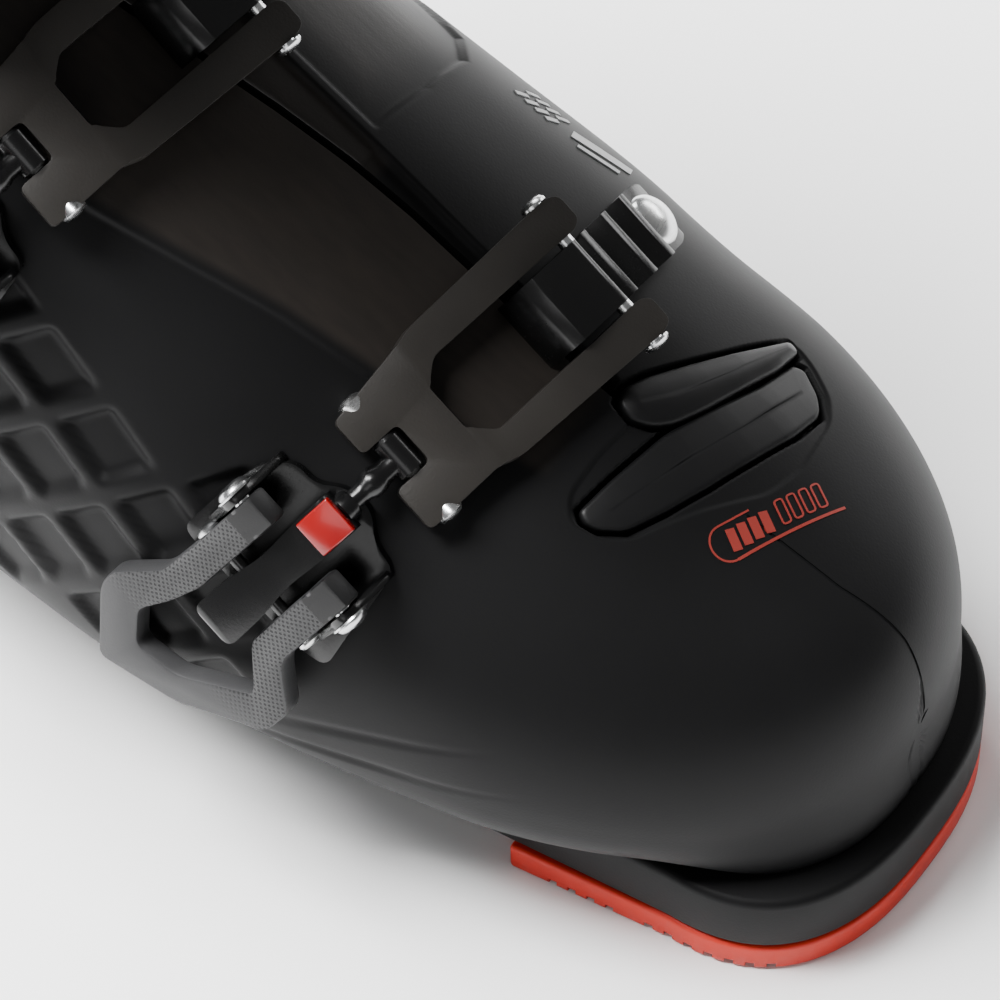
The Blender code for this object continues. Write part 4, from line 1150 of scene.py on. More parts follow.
def sole_frame():
    """The shell's own sole: the toe and heel ledges a binding holds, and the arch between them."""
    under = SOLE_PAD + GAP
    toe = prism(sole_outline(TOE_SOLE_WIDTH / 2, SOLE_LENGTH, TOE_PAD_BACK - 8), under, TOE_SOLE_HEIGHT)
    heel = prism(heel_outline(HEEL_SOLE_WIDTH / 2, HEEL_PAD_FRONT), under, HEEL_SOLE_HEIGHT)
    arch = prism(both_sides(ARCH_HALVES), ARCH_HEIGHT, ARCH_TOP)
    ribs = []
    for k in range(RIB_COUNT):
        x = RIB_START + RIB_PITCH * k
        reach = along(ARCH_HALVES, x) - 2.0
        outline = rounded(oblong(x - 2, x + 2, -reach, reach), 1.2)
        ribs.append(prism(outline, ARCH_HEIGHT - RIB_DEPTH, ARCH_HEIGHT + 3))
    pieces = [bevelled(piece, 1.4) for piece in (toe, heel)] + [bevelled(arch, 1.0)] + ribs
    return in_boot(together(*pieces))


def tread_slots(middle_x, middle_y, turn, count):
    """Short slots across the edge of a sole pad, open at its side."""
    half = TREAD_WIDTH / 2
    middle = boot_place(middle_x, middle_y, 0) @ Matrix.Rotation(radians(turn), 4, "Z")
    for k in range(count):
        slot = prism(oblong(-half, half, -9, 9), -2, TREAD_DEPTH)
        yield moved(slot, middle @ Matrix.Translation(((k - (count - 1) / 2) * TREAD_PITCH * MM, 0, 0)))


def sole_pad(outline, treads, groove):
    """An orange pad with slots along both its edges and a groove down its middle."""
    pad = in_boot(bevelled(prism(outline, 0, SOLE_PAD), 0.8))
    cutters = []
    for x, y, turn, count in treads:
        for side in (-1, 1):
            cutters += tread_slots(x, side * y, -side * turn, count)
    middle = in_boot(prism(rounded(oblong(*groove, -4, 4), 3), -2, TREAD_DEPTH))
    return cut(pad, *cutters, middle)


def toe_pad():
    """The pad under the toe lug."""
    outline = sole_outline(TOE_SOLE_WIDTH / 2, SOLE_LENGTH, TOE_PAD_BACK)
    return sole_pad(outline, TOE_TREADS, TOE_GROOVE)


def heel_pad():
    """The pad under the heel lug."""
    return sole_pad(heel_outline(HEEL_SOLE_WIDTH / 2, HEEL_PAD_FRONT), HEEL_TREADS, HEEL_GROOVE)


# ---------------------------------------------------------------- soft seal, beak and printed mark on the toe


def nearest_on(spine, point):
    """The point of a polyline nearest to (x, y)."""
    best = None
    for a, b in zip(spine, spine[1:]):
        a, b = Vector(a), Vector(b)
        t = min(max((point - a).dot(b - a) / (b - a).length_squared, 0), 1)
        found = a + (b - a) * t
        if best is None or (found - point).length < (best - point).length:
            best = found
    return best


def on_toe(x, y, height):
    """The point at a height over the toe box."""
    return Vector((x, y, toe_top(x, y))) + toe_normal(x, y) * height


def crowned(outline, spine, low, edge, crown, steps=16):
    """A closed pad over the toe: rings shrink from its outline onto its spine and rise to crown."""
    outline = rounded(outline, 1.6, 6)
    rings = [[on_toe(x, y, low) for x, y in outline]]
    for k in range(steps + 1):
        t = (k / steps) ** 1.7
        turn = min(t * 5, 1.0)
        height = edge - EDGE_ROUND * (1 - sqrt(1 - (1 - turn) ** 2)) + (crown - edge) * sin(pi / 2 * t)
        ring = []
        for x, y in outline:
            p = Vector((x, y))
            q = p.lerp(nearest_on(spine, p), t * 0.97)
            ring.append(on_toe(q.x, q.y, height))
        rings.append(ring)
    return loft(rings)


def ribbon(line, width, closed=False, place=on_toe, high=0.12):
    """A printed line from points (x, y), laid on the shell by place(x, y, height)."""
    points = [Vector(p) for p in line]
    rings = []
    count = len(points)
    for i, p in enumerate(points):
        before = points[i - 1] if closed or i else p
        after = points[(i + 1) % count] if closed or i < count - 1 else p
        side = (after - before).orthogonal().normalized() * width / 2
        corners = [(p + side, -0.3), (p + side, high), (p - side, high), (p - side, -0.3)]
        rings.append([place(q.x, q.y, h) for q, h in corners])
    if closed:
        rings.append(rings[0])
    return loft(rings, not closed)


def straight(start, end, steps):
    """Points along a line, evenly spaced."""
    return [tuple(Vector(start).lerp(Vector(end), k / steps)) for k in range(steps + 1)]


def printed_mark():
    """A plain mark in the place of a printed name: a capsule with solid blocks, then hollow ones."""
    across = Vector((cos(radians(MARK_TURN)), sin(radians(MARK_TURN))))
    up = Vector((-across.y, across.x))
    half = MARK_HEIGHT / 2

    def at(points):
        return [tuple(Vector(MARK_START) + across * a + up * b) for a, b in points]

    arc = [(half - half * sin(t), half + half * cos(t)) for t in np.linspace(0, pi, 18)]
    pieces = [ribbon(at([(8.8, MARK_HEIGHT), *arc]), MARK_STROKE)]
    pieces.append(ribbon(at(straight((half, 0), (MARK_LENGTH, 0), 24)), MARK_STROKE * 1.5))
    for k in range(4):
        a = 3.6 + 2.1 * k
        pieces.append(ribbon(at(straight((a, 1.1), (a + 0.7, 4.5), 6)), 1.5))
        b = 13.2 + 2.35 * k
        box = [(b - 0.75, 1.3), (b + 0.75, 1.3), (b + 1.5, 5.1), (b, 5.1)]
        pieces.append(ribbon(at(rounded(box, 0.5, 3)), MARK_STROKE, True))
    return together(*pieces)


def side_print():
    """Plain bars laid on the inner side of the foot shell."""
    columns = 160
    angles = np.linspace(0, 2 * pi, columns, endpoint=False)
    rows = [ring_points(section, angles) for section in shell_sections(False)[12:]]
    points = [Vector(p) for row in rows for p in row]
    faces = []
    for start in range(0, columns * (len(rows) - 1), columns):
        for i in range(columns):
            a, b = start + i, start + (i + 1) % columns
            faces.append((a, b, b + columns, a + columns))
    tree = BVHTree.FromPolygons(points, faces)

    def on_side(x, y, height):
        place, normal, _, _ = tree.ray_cast(Vector((x, y, 200.0)), Vector((0, 0, -1)))
        return place + normal * (height if normal.z > 0 else -height)

    bars = list(SIDE_BLOCKS)
    for x in SIDE_BARS_X:
        for y in SIDE_BARS_Y:
            bars.append(((x, y), (x + 1.0, y + 2.0), 0.9))
    return together(*(ribbon(straight(a, b, 8), width, False, on_side, 0.2) for a, b, width in bars))


# ---------------------------------------------------------------- buckles


def buckle_place(origin, pins):
    """The matrix from a buckle's (v, u, w) to the frame."""
    v = Vector(pins).normalized()
    u = (Vector((0, 1, 0)) - v * v.y).normalized()
    return axes(v, u, v.cross(u), Vector(origin) - ORIGIN)


def foot_buckles():
    """The matrices of the toe and instep buckles."""
    return {name: buckle_place(*place) for name, place in BUCKLES.items()}


def cuff_buckles():
    """The two cuff buckles, whose crown lies on the front of the cuff."""
    places = {}
    for name, z in CUFF_BUCKLE_HEIGHTS.items():
        crown = cuff_point(0, z, 0)
        down = (cuff_point(0, z - 10, 0) - cuff_point(0, z + 10, 0)).normalized()
        out = down.cross(Vector((0, 1, 0)))
        across, height = BUCKLE_CROWN
        places[name] = buckle_place(crown - out * (height - CUFF_BUCKLE_LIFT) - Vector((0, across, 0)), down)
    return places


def on_plane(corner, lean):
    """Local axes of a plate: x along v, y along lean in (u, w), z outwards, from a corner (u, w)."""
    (u, w), (du, dw) = corner, lean
    return axes((1, 0, 0), (0, du, dw), (0, -dw, du), (0, u, w))


def bar(centre, radius, low, high):
    """A round bar along v at (u, w)."""
    return moved(rod(radius, low, high), along_pins(centre))


def slab(profile, low, high):
    """A plate across the pins: its profile is (u, w) points and it reaches from low to high along v."""
    return moved(prism(profile, low, high), SIDE)


def curve_point(along_curve, height):
    """(u, w) at a distance along the shell's curve from its crown and a height over it."""
    angle = along_curve / BUCKLE_CURVE
    across, top = BUCKLE_CROWN
    reach = BUCKLE_CURVE + height
    return across + reach * sin(angle), top - BUCKLE_CURVE + reach * cos(angle)


def base_plate(place, surface):
    """The black plate that follows the shell, with a wavy edge and two slots."""
    slots = [rounded(oblong(v - 1.2, v + 1.2, -6.5, 3.5), 1.1) for v in (-8.6, 8.6)]
    plate = prism(rounded(BASE_OUTLINE, 2.4), -12, 12, slots)
    moved(plate, place @ on_plane(BASE_PLANE, BASE_LEAN))
    combine(plate, surface(-BASE_HIGH), "INTERSECT")
    return bevelled(cut(plate, surface(-BASE_LOW)), 0.45, 2)


def ears(place):
    """The two upright lugs that hold the lever's pivot."""
    outline = rounded(EAR_PROFILE, 2.2)
    reaches = ((-EAR_OUTER, -EAR_INNER), (EAR_INNER, EAR_OUTER))
    pair = [bevelled(slab(outline, low, high), 0.3, 2) for low, high in reaches]
    return moved(together(*pair), place)


def lever(place):
    """The grey lever: a loop with bevelled edges, dotted on its outer face, and its two pivot eyes."""
    outline = []
    for line, radius in ((LEVER_OUTER, 1.8), (LEVER_INNER, 1.5)):
        outline += rounded([(v, -s) for v, s in line], radius, cyclic=False)
    plate = bevelled(prism(outline, -LEVER_THICKNESS, 0), 0.6, 2)
    flat_uv(plate, Matrix.Identity(4))
    dotted = plate.data.attributes.new("dotted", "FLOAT", "FACE")
    for face in plate.data.polygons:
        dotted.data[face.index].value = 1.0 if face.normal.z > 0.9 else 0.0
    moved(plate, on_plane(LEVER_FACE, LEVER_LEAN))
    eyes = []
    for low, high in ((-11, -5.5), (5.6, 11)):
        eyes.append(flat_uv(bevelled(bar(PIVOT, BOSS_RADIUS, low, high), 0.4, 2), SIDE))
    return moved(together(plate, *eyes), place)


def lever_rivets(place, side):
    """The pivot rivet at one side and the smaller one of the link under it, with domed heads."""
    head = [(PIVOT_RADIUS, 6.2), (PIVOT_RADIUS, 12.9), (2.75, 12.9), (2.85, 13.25), (2.6, 13.75)]
    head += [(2.0, 14.15), (1.1, 14.35)]
    washer = [(1.9, 12.6), (3.3, 12.7), (3.4, 12.95), (3.1, 13.05), (1.9, 13.05)]
    link = [(LINK_RADIUS, 9.0), (LINK_RADIUS, 11.1), (2.0, 11.1), (2.1, 11.5), (1.6, 12.0), (0.8, 12.2)]
    rivets = ((head, PIVOT), (washer, PIVOT), (link, LINK))
    return moved(together(*(moved(turned(p), along_pins(at, side)) for p, at in rivets)), place)


def rod_axes():
    """Axes whose z runs along the threaded rod, and its length."""
    start, end = Vector((0, *ROD_START)), Vector((0, *TBAR))
    way = (end - start).normalized()
    return axes((1, 0, 0), way.cross((1, 0, 0)), way, start), (end - start).length


def adjuster(place):
    """The black tapered tongue that links the lever to the threaded rod."""
    profile = rounded(ADJUSTER_PROFILE, 1.4, 4)
    body = slab(profile, -ADJUSTER_HALF - 0.6, ADJUSTER_HALF + 0.6)
    waist = moved(prism(rounded(ADJUSTER_PLAN, 2.2, 6), -30, 30), on_plane((0, 0), ADJUSTER_LEAN))
    body = bevelled(combine(body, waist, "INTERSECT"), 0.9, 3)
    collar_axes, _ = rod_axes()
    collar = moved(turned([(2.2, 2.0), (2.4, 2.3), (2.4, 4.0), (2.1, 4.5), (1.8, 4.6)]), collar_axes)
    return moved(together(body, collar, bar(LINK, LINK_RADIUS, -10.9, 10.9)), place)


def red_block(place):
    """The glossy red wedge let into the adjuster's outer face."""
    return moved(bevelled(slab(RED_PROFILE, *RED_REACH), 0.3, 3), place)


def threaded_rod(place):
    """The rod, thicker where its thread ends, and the barrel of its T-bar."""
    way, length = rod_axes()
    shaft = moved(turned([(r, share * length) for r, share in ROD_PROFILE], 40), way)
    tbar = [(1.7, -3.9), (TBAR_RADIUS + 0.2, -3.3), (TBAR_RADIUS + 0.2, 2.7), (1.7, 3.3)]
    barrel = moved(turned(tbar), along_pins(TBAR))
    return moved(together(shaft, barrel, bar(TBAR, 1.0, -6.6, 6.0)), place)


def frame_lean():
    """The way the ladder's fork slopes, (u, w)."""
    return cos(radians(FRAME_SLOPE)), sin(radians(FRAME_SLOPE))


def ladder_frame(place):
    """The ladder: a yoke round the T-bar, bent down from a fork that holds the catch pin."""
    bend = Vector((0, FRAME_BEND_AT, -FRAME_THICKNESS / 2)) * MM

    def bent(work):
        whole = [*work.verts, *work.edges, *work.faces]
        bmesh.ops.bisect_plane(work, geom=whole, plane_co=bend, plane_no=(0, 1, 0), dist=WELD)
        yoke = [p for p in work.verts if p.co.y < bend.y - 10 * WELD]
        bmesh.ops.rotate(work, verts=yoke, cent=bend, matrix=Matrix.Rotation(radians(FRAME_BEND), 3, "X"))

    plate = edited(prism(rounded(FRAME_OUTLINE, 1.1, 3), -FRAME_THICKNESS, 0), bent)
    return moved(bevelled(plate, 0.75, 3), place @ on_plane(FRAME_PLANE, frame_lean()))


def catch_pin(place):
    """The bright pin across the fork, with a domed head at each end."""
    profile = [(1.2, -15.3), (1.9, -15.0), (2.25, -14.5), (2.25, -14.1), (CATCH_RADIUS, -14.1)]
    profile += [(CATCH_RADIUS, 13.4), (2.25, 13.4), (2.25, 13.8), (1.9, 14.3), (1.2, 14.6)]
    lying = along_pins((CATCH_AT, -FRAME_THICKNESS / 2))
    return moved(turned(profile), place @ on_plane(FRAME_PLANE, frame_lean()) @ lying)


def yoke_rivets(place):
    """The domed ends of the T-bar's pin on the yoke's two cheeks."""
    ends = []
    for side, at in ((-1, 11.1), (1, 11.3)):
        head = [(1.0, at - 2.5), (2.1, at - 0.4), (2.2, at + 0.1), (1.7, at + 0.6), (0.8, at + 0.85)]
        ends.append(moved(turned(head), along_pins(TBAR, side)))
    return moved(together(*ends), place)


def rack(place, surface):
    """The black toothed rack that the catch pin drops into."""
    top = rounded([curve_point(a, h) for a, h in RACK_TEETH], 0.25, 2, False)
    steps = 16
    start, end = RACK_TEETH[0][0], RACK_TEETH[-1][0]
    under = [curve_point(end + (start - end) * i / steps, -4) for i in range(steps + 1)]
    body = moved(slab(top + under, RACK_LOW, RACK_HIGH), place)
    low, high = RACK_LOW, RACK_HIGH
    tip = [(low - 1, -70), (high + 1, -70), (high + 1, -4), (high, -3), (high, 6.8)]
    tip += [(low, 6.8), (low, -3), (low - 1, -4)]
    combine(body, moved(prism(rounded(tip, 5.2, 8), -60, 60), rack_axes(place)), "INTERSECT")
    return bevelled(cut(body, surface(-GAP * 0.3)), 0.35, 2)


def rack_axes(place):
    """The matrix whose z runs outwards through the rack's rivet."""
    u, w = curve_point(RACK_RIVET_AT, RACK_RIVET_TOP)
    angle = RACK_RIVET_AT / BUCKLE_CURVE
    return place @ axes((1, 0, 0), (0, cos(angle), -sin(angle)), (0, sin(angle), cos(angle)), (0, u, w))


def rack_rivet(place):
    """The large domed rivet that holds the rack."""
    head = RACK_RIVET_HEAD
    profile = [(RACK_RIVET_RADIUS, -7.2), (RACK_RIVET_RADIUS, GAP), (head - 0.1, GAP), (head, 0.6)]
    profile += [(head - 0.25, 1.15), (head - 0.9, 1.7), (head - 1.9, 2.2), (1.5, 2.6), (0.7, 2.7)]
    return moved(turned(profile, 64), rack_axes(place))


def buckle(name, place, surface, body):
    """All the pieces of one buckle on the bodies that carry them."""
    turning, lifting = f"{name}_lever", f"{name}_ladder"

    # Each piece: its name, itself, its material, its body, its CAD node and its slot.
    pieces = (
        ("base_plate", base_plate(place, surface), "black", body, "base", "hardware_black"),
        ("base_ears", ears(place), "black", body, "base", "hardware_black"),
        ("lever_loop", lever(place), "lever", turning, "lever", "lever_grey"),
        ("rivet_front", lever_rivets(place, 1), "zinc", body, "rivet_front", "zinc"),
        ("rivet_rear", lever_rivets(place, -1), "zinc", body, "rivet_rear", "zinc"),
        ("adjuster_tongue", adjuster(place), "black", lifting, "adjuster", "adjuster_red"),
        ("adjuster_block", red_block(place), "red", lifting, None, "adjuster_red"),
        ("threaded_rod", threaded_rod(place), "black", lifting, "rod", "hardware_black"),
        ("ladder_frame", ladder_frame(place), "ladder", lifting, "frame", "ladder_grey"),
        ("catch", catch_pin(place), "zinc", lifting, "catch_pin", "zinc"),
        ("yoke_rivets", yoke_rivets(place), "zinc", lifting, None, "zinc"),
        ("toothed_rack", rack(place, surface), "black", body, "rack", "hardware_black"),
        ("rack_head", rack_rivet(place), "zinc", body, "rack_rivet", "zinc"),
    )
    for word, made, skin, carrier, node, slot in pieces:
        stands_for = (f"{name}_buckle_{node}",) if node else ()
        finish(made, f"{name}_{word}", skin, carrier, stands_for, slot)


# ---------------------------------------------------------------- leg surface


def cuff_level(z):
    """Back x, front x and half width of the cuff's outer surface at a height."""
    share = (z - CUFF_LEVELS[0][0]) / (CUFF_LEVELS[-1][0] - CUFF_LEVELS[0][0])
    return tuple(spread([level[k] for level in CUFF_LEVELS], min(max(share, 0), 1)) for k in (1, 2, 3))


def cuff_point(angle, z, inset):
    """A point on the cuff's outer surface, moved inwards by inset. Angle 0 faces the toe."""
    back, front, half = cuff_level(z)
    centre = (back + front) / 2
    power = 2 / (CUFF_FRONT_SQUARE if cos(angle) > 0 else CUFF_BACK_SQUARE)
    x = centre + ((front - back) / 2 - inset) * abs(cos(angle)) ** power * (1 if cos(angle) > 0 else -1)
    y = (half - inset) * abs(sin(angle)) ** power * (1 if sin(angle) > 0 else -1)
    return Vector((x, y, z))


def rim(angle, front, side, back):
    """A height that runs smoothly round the leg from its value at the front, over the sides, to the back."""
    turn = (front - back) / 2
    twice = (front + back) / 4 - side / 2
    return side + twice + turn * cos(angle) + twice * cos(2 * angle)


def leg_wall(low, high, inset, wall, rows, angles, relief=None, roll=1.5, crest=None):
    """A closed wall round the leg, or over part of it, between two rims, with rounded edges.

    relief(angle, share, z) gives how far the outer surface stands out, and crest(angle) how much higher the
    upper rim is there, in millimetres."""
    around = abs(angles[-1] - angles[0]) > 1.9 * pi
    lip = ((0.12, 0.7), (0.5, 1.0), (0.88, 0.7))

    def height(angle, share):
        top = rim(angle, *high) + (crest(angle) if crest else 0.0)
        return rim(angle, *low) + (top - rim(angle, *low)) * share

    def row(share, depth, rise=0.0, outer=False):
        points = []
        for angle in angles:
            z = height(angle, share) + rise
            out = relief(angle, share, z) if relief and outer else 0.0
            points.append(cuff_point(angle, z, depth - out))
        return points

    rings = [row(j / rows, inset, outer=True) for j in range(rows + 1)]
    rings += [row(1.0, inset + wall * share, roll * rise) for share, rise in lip]
    rings += [row(1 - j / rows, inset + wall) for j in range(rows + 1)]
    rings += [row(0.0, inset + wall * (1 - share), -roll * rise) for share, rise in lip]
    rings.append(rings[0])
    points = np.array([[tuple(p) for p in ring] for ring in rings])
    made = grid_mesh(points, around)
    if not around:
        made = close_sides(made)
    grid_uv(made, points)
    return made


def close_sides(made):
    """Fills the open ends of a wall over part of the leg."""

    def fill(work):
        bmesh.ops.remove_doubles(work, verts=work.verts, dist=WELD)
        bmesh.ops.holes_fill(work, edges=[edge for edge in work.edges if edge.is_boundary])
        outwards(work)

    return edited(made, fill)


def grid_uv(made, points):
    """Flat coordinates in millimetres, along the rows and columns that a sheet was built from."""
    layer = made.data.uv_layers.new(name="flat")
    across = np.concatenate([[0], np.cumsum(np.linalg.norm(np.diff(points[0], axis=0), axis=1))])
    down = np.concatenate([[0], np.cumsum(np.linalg.norm(np.diff(points[:, 0], axis=0), axis=1))])
    flat = (points.reshape(-1, 3) - np.array(ORIGIN)) * MM
    columns = points.shape[1]
    tree = KDTree(len(flat))
    for i, p in enumerate(flat):
        tree.insert(p, i)
    tree.balance()
    nearest = [tree.find(vertex.co)[1] for vertex in made.data.vertices]
    for loop in made.data.loops:
        i = nearest[loop.vertex_index]
        layer.data[loop.index].uv = (across[i % columns], down[i // columns])
    return made


def round_leg(columns):
    """Evenly spaced angles all round the leg."""
    return [2 * pi * i / columns for i in range(columns)]


def part_of_leg(facing, half_angle, columns):
    """Evenly spaced angles on both sides of the one that a piece faces."""
    return [facing + half_angle * (2 * i / columns - 1) for i in range(columns + 1)]


def cuff_relief(angle, share, z):
    """The cuff's lap at the front, its raised rims and the sunk panels at its sides and back."""
    turn = (angle + pi) % (2 * pi) - pi
    lap = -1.6 * smooth(1.25 - abs(turn - CUFF_LAP) / CUFF_LAP_HALF)
    tail = 0.9 * smooth((CUFF_LAP - turn) / 0.02) * smooth((turn + 0.95) / 0.06) * smooth(share / 0.05)
    edge = 1.1 * (smooth((share - 0.94) / 0.03) + smooth((0.06 - share) / 0.03))
    side = abs(abs(turn) - 1.75) / 0.52
    level = abs(share - 0.46 - 0.08 * (abs(turn) - 1.75)) / 0.24
    inside = smooth((1 - max(side, level)) / 0.10)
    rib = 0.72 * inside * smooth(1 - abs(((z - 14 * abs(turn)) % 16) - 8) / 2.2)
    spine = 1.4 * smooth(1 - abs(abs(turn) - pi) / 0.12) * smooth((share - 0.62) / 0.06)
    return float(lap + tail + edge - 1.3 * inside + rib + spine)


def cuff_skin():
    """The cuff, with columns close together at its lap."""
    columns = sorted({*(round(a, 4) for a in round_leg(220)),
                      *(round(2 * pi + CUFF_LAP + k * 0.005, 4) for k in range(-6, 7))})
    return leg_wall(CUFF_LOW, CUFF_HIGH, 0, CUFF_WALL, 90, columns, cuff_relief)


def strap_relief(angle, share, z):
    """A band that is thinner along its woven edges."""
    return float(-0.5 * smooth((abs(share - 0.5) - 0.43) / 0.05))


def strap_band():
    """The power strap's band round the cuff and the liner."""
    inset = -STRAP_THICKNESS - GAP
    return leg_wall(STRAP_LOW, STRAP_HIGH, inset, STRAP_THICKNESS, 14, round_leg(160), strap_relief, 0.4)


def strap_tail():
    """The strap's free end, laid over the band at the front and held by hook and loop."""
    angles = part_of_leg(*TAIL_ANGLES, 44)
    inset = -2 * STRAP_THICKNESS - 2 * GAP
    return leg_wall(TAIL_LOW, TAIL_HIGH, inset, STRAP_THICKNESS - GAP, 12, angles, strap_relief, 0.4)


def stitches(line):
    """A row of thread stitches along (angle, z, inset) places on the leg, lifted clear of the cloth."""
    found = []
    places = [cuff_point(*place) for place in line]
    run = 0.0
    marks = [0.0]
    for a, b in zip(places, places[1:]):
        run += (b - a).length
        marks.append(run)
    at = STITCH_GAP
    while at + STITCH_LENGTH < run:
        ends = []
        for s in np.linspace(at, at + STITCH_LENGTH, 5):
            ends.append(Vector([np.interp(s, marks, [p[k] for p in places]) for k in range(3)]))
        out = Vector((ends[2].x - LEG_MIDDLE, ends[2].y, 0)).normalized()
        rings = []
        for k, p in enumerate(ends):
            rise = STITCH_LIFT + 0.35 * sin(pi * k / 4) * STITCH_RADIUS
            way = (ends[min(k + 1, 4)] - ends[max(k - 1, 0)]).normalized()
            side = way.cross(out)
            turns = np.linspace(0, 2 * pi, 7)[:-1]
            rings.append([p + out * rise + (side * cos(t) + out * sin(t)) * STITCH_RADIUS for t in turns])
        found.append(loft(rings))
        at += STITCH_LENGTH + STITCH_GAP
    return found


def strap_stitches():
    """The stitched box that holds the strap's end and the two rows along the tail's border."""
    depth = -2 * STRAP_THICKNESS - 2 * GAP

    def row(a0, a1, share0, share1, steps):
        line = []
        for k in range(steps + 1):
            t = k / steps
            a = a0 + (a1 - a0) * t
            low, high = rim(a, *TAIL_LOW), rim(a, *TAIL_HIGH)
            line.append((a, low + (high - low) * (share0 + (share1 - share0) * t), depth))
        return line

    rows = (
        (-1.08, -0.02, 0.14, 0.14, 20), (-1.08, -0.02, 0.86, 0.86, 20), (-1.08, -1.08, 0.14, 0.86, 6),
        (-0.80, -0.80, 0.14, 0.86, 6), (-1.08, -0.80, 0.14, 0.86, 8), (-1.08, -0.80, 0.86, 0.14, 8),
        (-0.02, -0.02, 0.14, 0.86, 6),
    )
    return together(*(stitch for given in rows for stitch in stitches(row(*given))))


def liner_relief(angle, share, z):
    """Padding sewn in channels round the leg, with a fat roll at the top."""
    turn = abs((angle + pi) % (2 * pi) - pi)
    collar = COLLAR_PUFF * smooth((z - rim(angle, *CUFF_HIGH) - 1) / 9) * smooth((pi - 0.95 - turn) / 0.3)
    channel = (z - 8 * cos(angle)) % 17.0
    seam = -1.3 * np.exp(-(((channel - 8.5) / 0.9) ** 2)) * (1 if share < 0.86 else 0)
    puff = 0.9 * sin(pi * channel / 17.0) ** 2 if share < 0.86 else 0.0
    roll = 1.2 * sin(pi * min(max((share - 0.9) / 0.12, 0), 1))
    roll -= 1.6 * np.exp(-(((share - 0.895) / 0.008) ** 2))
    upright = -0.9 * np.exp(-(((turn - 1.2) / 0.02) ** 2)) * (share < 0.88)
    return float(min(seam + puff, 0.4) * smooth((share - 0.72) / 0.05) + roll + collar + upright)


def liner_shaft():
    """The liner's upper: a padded tube that stands out of the cuff."""
    inset = CUFF_WALL + LINER_CLEARANCE
    return leg_wall(LINER_LOW, LINER_HIGH, inset, LINER_WALL, 110, round_leg(180), liner_relief, 2.4)


def liner_sock():
    """The liner's foot, a soft wall that follows the inside of the shell from the toes to the ankle."""
    angles = np.linspace(0, 2 * pi, 120, endpoint=False)
    sections = shell_sections(False)[12:]
    skin = SHELL_WALL + 1.2
    outer = np.array([ring_points(section, angles, skin) for section in sections])
    inner = np.array([ring_points(section, angles, skin + LINER_WALL) for section in sections[4:]])[::-1]
    rim_ring = (outer[-1] + inner[0]) / 2 + np.array((0, 0, 1.5))
    rows = np.concatenate([outer, rim_ring[None], inner])
    made = grid_mesh(rows, True, True)
    return grid_uv(made, rows)


def tongue_relief(angle, share, z):
    """A tongue that is fat in its middle, with sewn ribs across it."""
    across = 1 - (angle / 0.9) ** 2
    rib = 0.55 * sin(pi * ((z % 13.0) / 13.0)) ** 2 - 0.35
    return float(1.6 * across + rib * smooth((share - 0.5) / 0.1) - 1.4)


def tongue_crest(angle):
    """The tongue's top corners, rounded down."""
    return -16.0 * (abs(angle) / 0.91) ** 5


def liner_tongue():
    """The liner's tongue in front of the shin, between the liner's wall and the leg."""
    inset = CUFF_WALL + TONGUE_CLEARANCE + LINER_WALL
    angles = part_of_leg(0.0, radians(TONGUE_HALF_ANGLE), 70)
    return leg_wall(TONGUE_LOW, TONGUE_HIGH, inset, TONGUE_WALL, 90, angles, tongue_relief, 1.6, tongue_crest)


def rear_spoiler():
    """The thin plate behind the calf, inside the cuff's back."""
    angles = part_of_leg(pi, radians(SPOILER_HALF_ANGLE), 60)
    return leg_wall(SPOILER_LOW, SPOILER_HIGH, CUFF_WALL + 1.0, SPOILER_WALL, 30, angles, None, 0.8)


def boot_board():
    """The hard footbed under the liner, sloped up to the heel, with a row of shallow slots."""
    slots = [rounded(oblong(x - 2.5, x + 2.5, -14, 14), 2.4) for x in range(60, 240, 20)]
    plate = bevelled(prism(rounded(both_sides(BOARD_HALVES), 14, 6), -BOARD_THICKNESS, 0.0, slots), 1.0, 2)
    front, height = BOARD_FRONT
    tilt = Matrix.Rotation(radians(BOARD_TILT), 4, "Y")
    moved(plate, boot_place(front, 0, height) @ tilt @ Matrix.Translation((-front * MM, 0, 0)))
    return combine(plate, foot_solid(SHELL_WALL + 1.0), "INTERSECT")


def sole_screw(x, y):
    """A countersunk screw whose head has a cross recess."""
    head = turned([(3.6, 0.8), (4.2, 1.2), (4.2, 2.6), (2.0, 2.9), (2.0, 13)], 40)
    for turn in (0, 90):
        slot = prism(oblong(-2.6, 2.6, -0.55, 0.55), -1, 1.9)
        cut(head, moved(slot, Matrix.Rotation(radians(turn), 4, "Z")))
    return moved(head, boot_place(x, y, 0))


def pivot_pin(side):
    """The big rivet that the cuff turns on, with a hexagon socket."""
    pin = turned(PIVOT_PROFILE, 64)
    socket = rod(2.9, 56.2, 60, 6)
    lying = Matrix.Rotation(radians(-90 * side), 4, "X")
    return moved(cut(pin, socket), boot_place(PIVOT_X, 0, PIVOT_Z) @ lying)


def walk_place():
    """The matrix of the walk lever's housing: x across the back of the cuff, y up it, z outwards."""
    above = cuff_point(pi, WALK_HEIGHT + WALK_HALF_SPAN, 0)
    up = (above - cuff_point(pi, WALK_HEIGHT - WALK_HALF_SPAN, 0)).normalized()
    across = Vector((0, -1, 0))
    return axes(across, up, across.cross(up), cuff_point(pi, WALK_HEIGHT, 0) - ORIGIN)


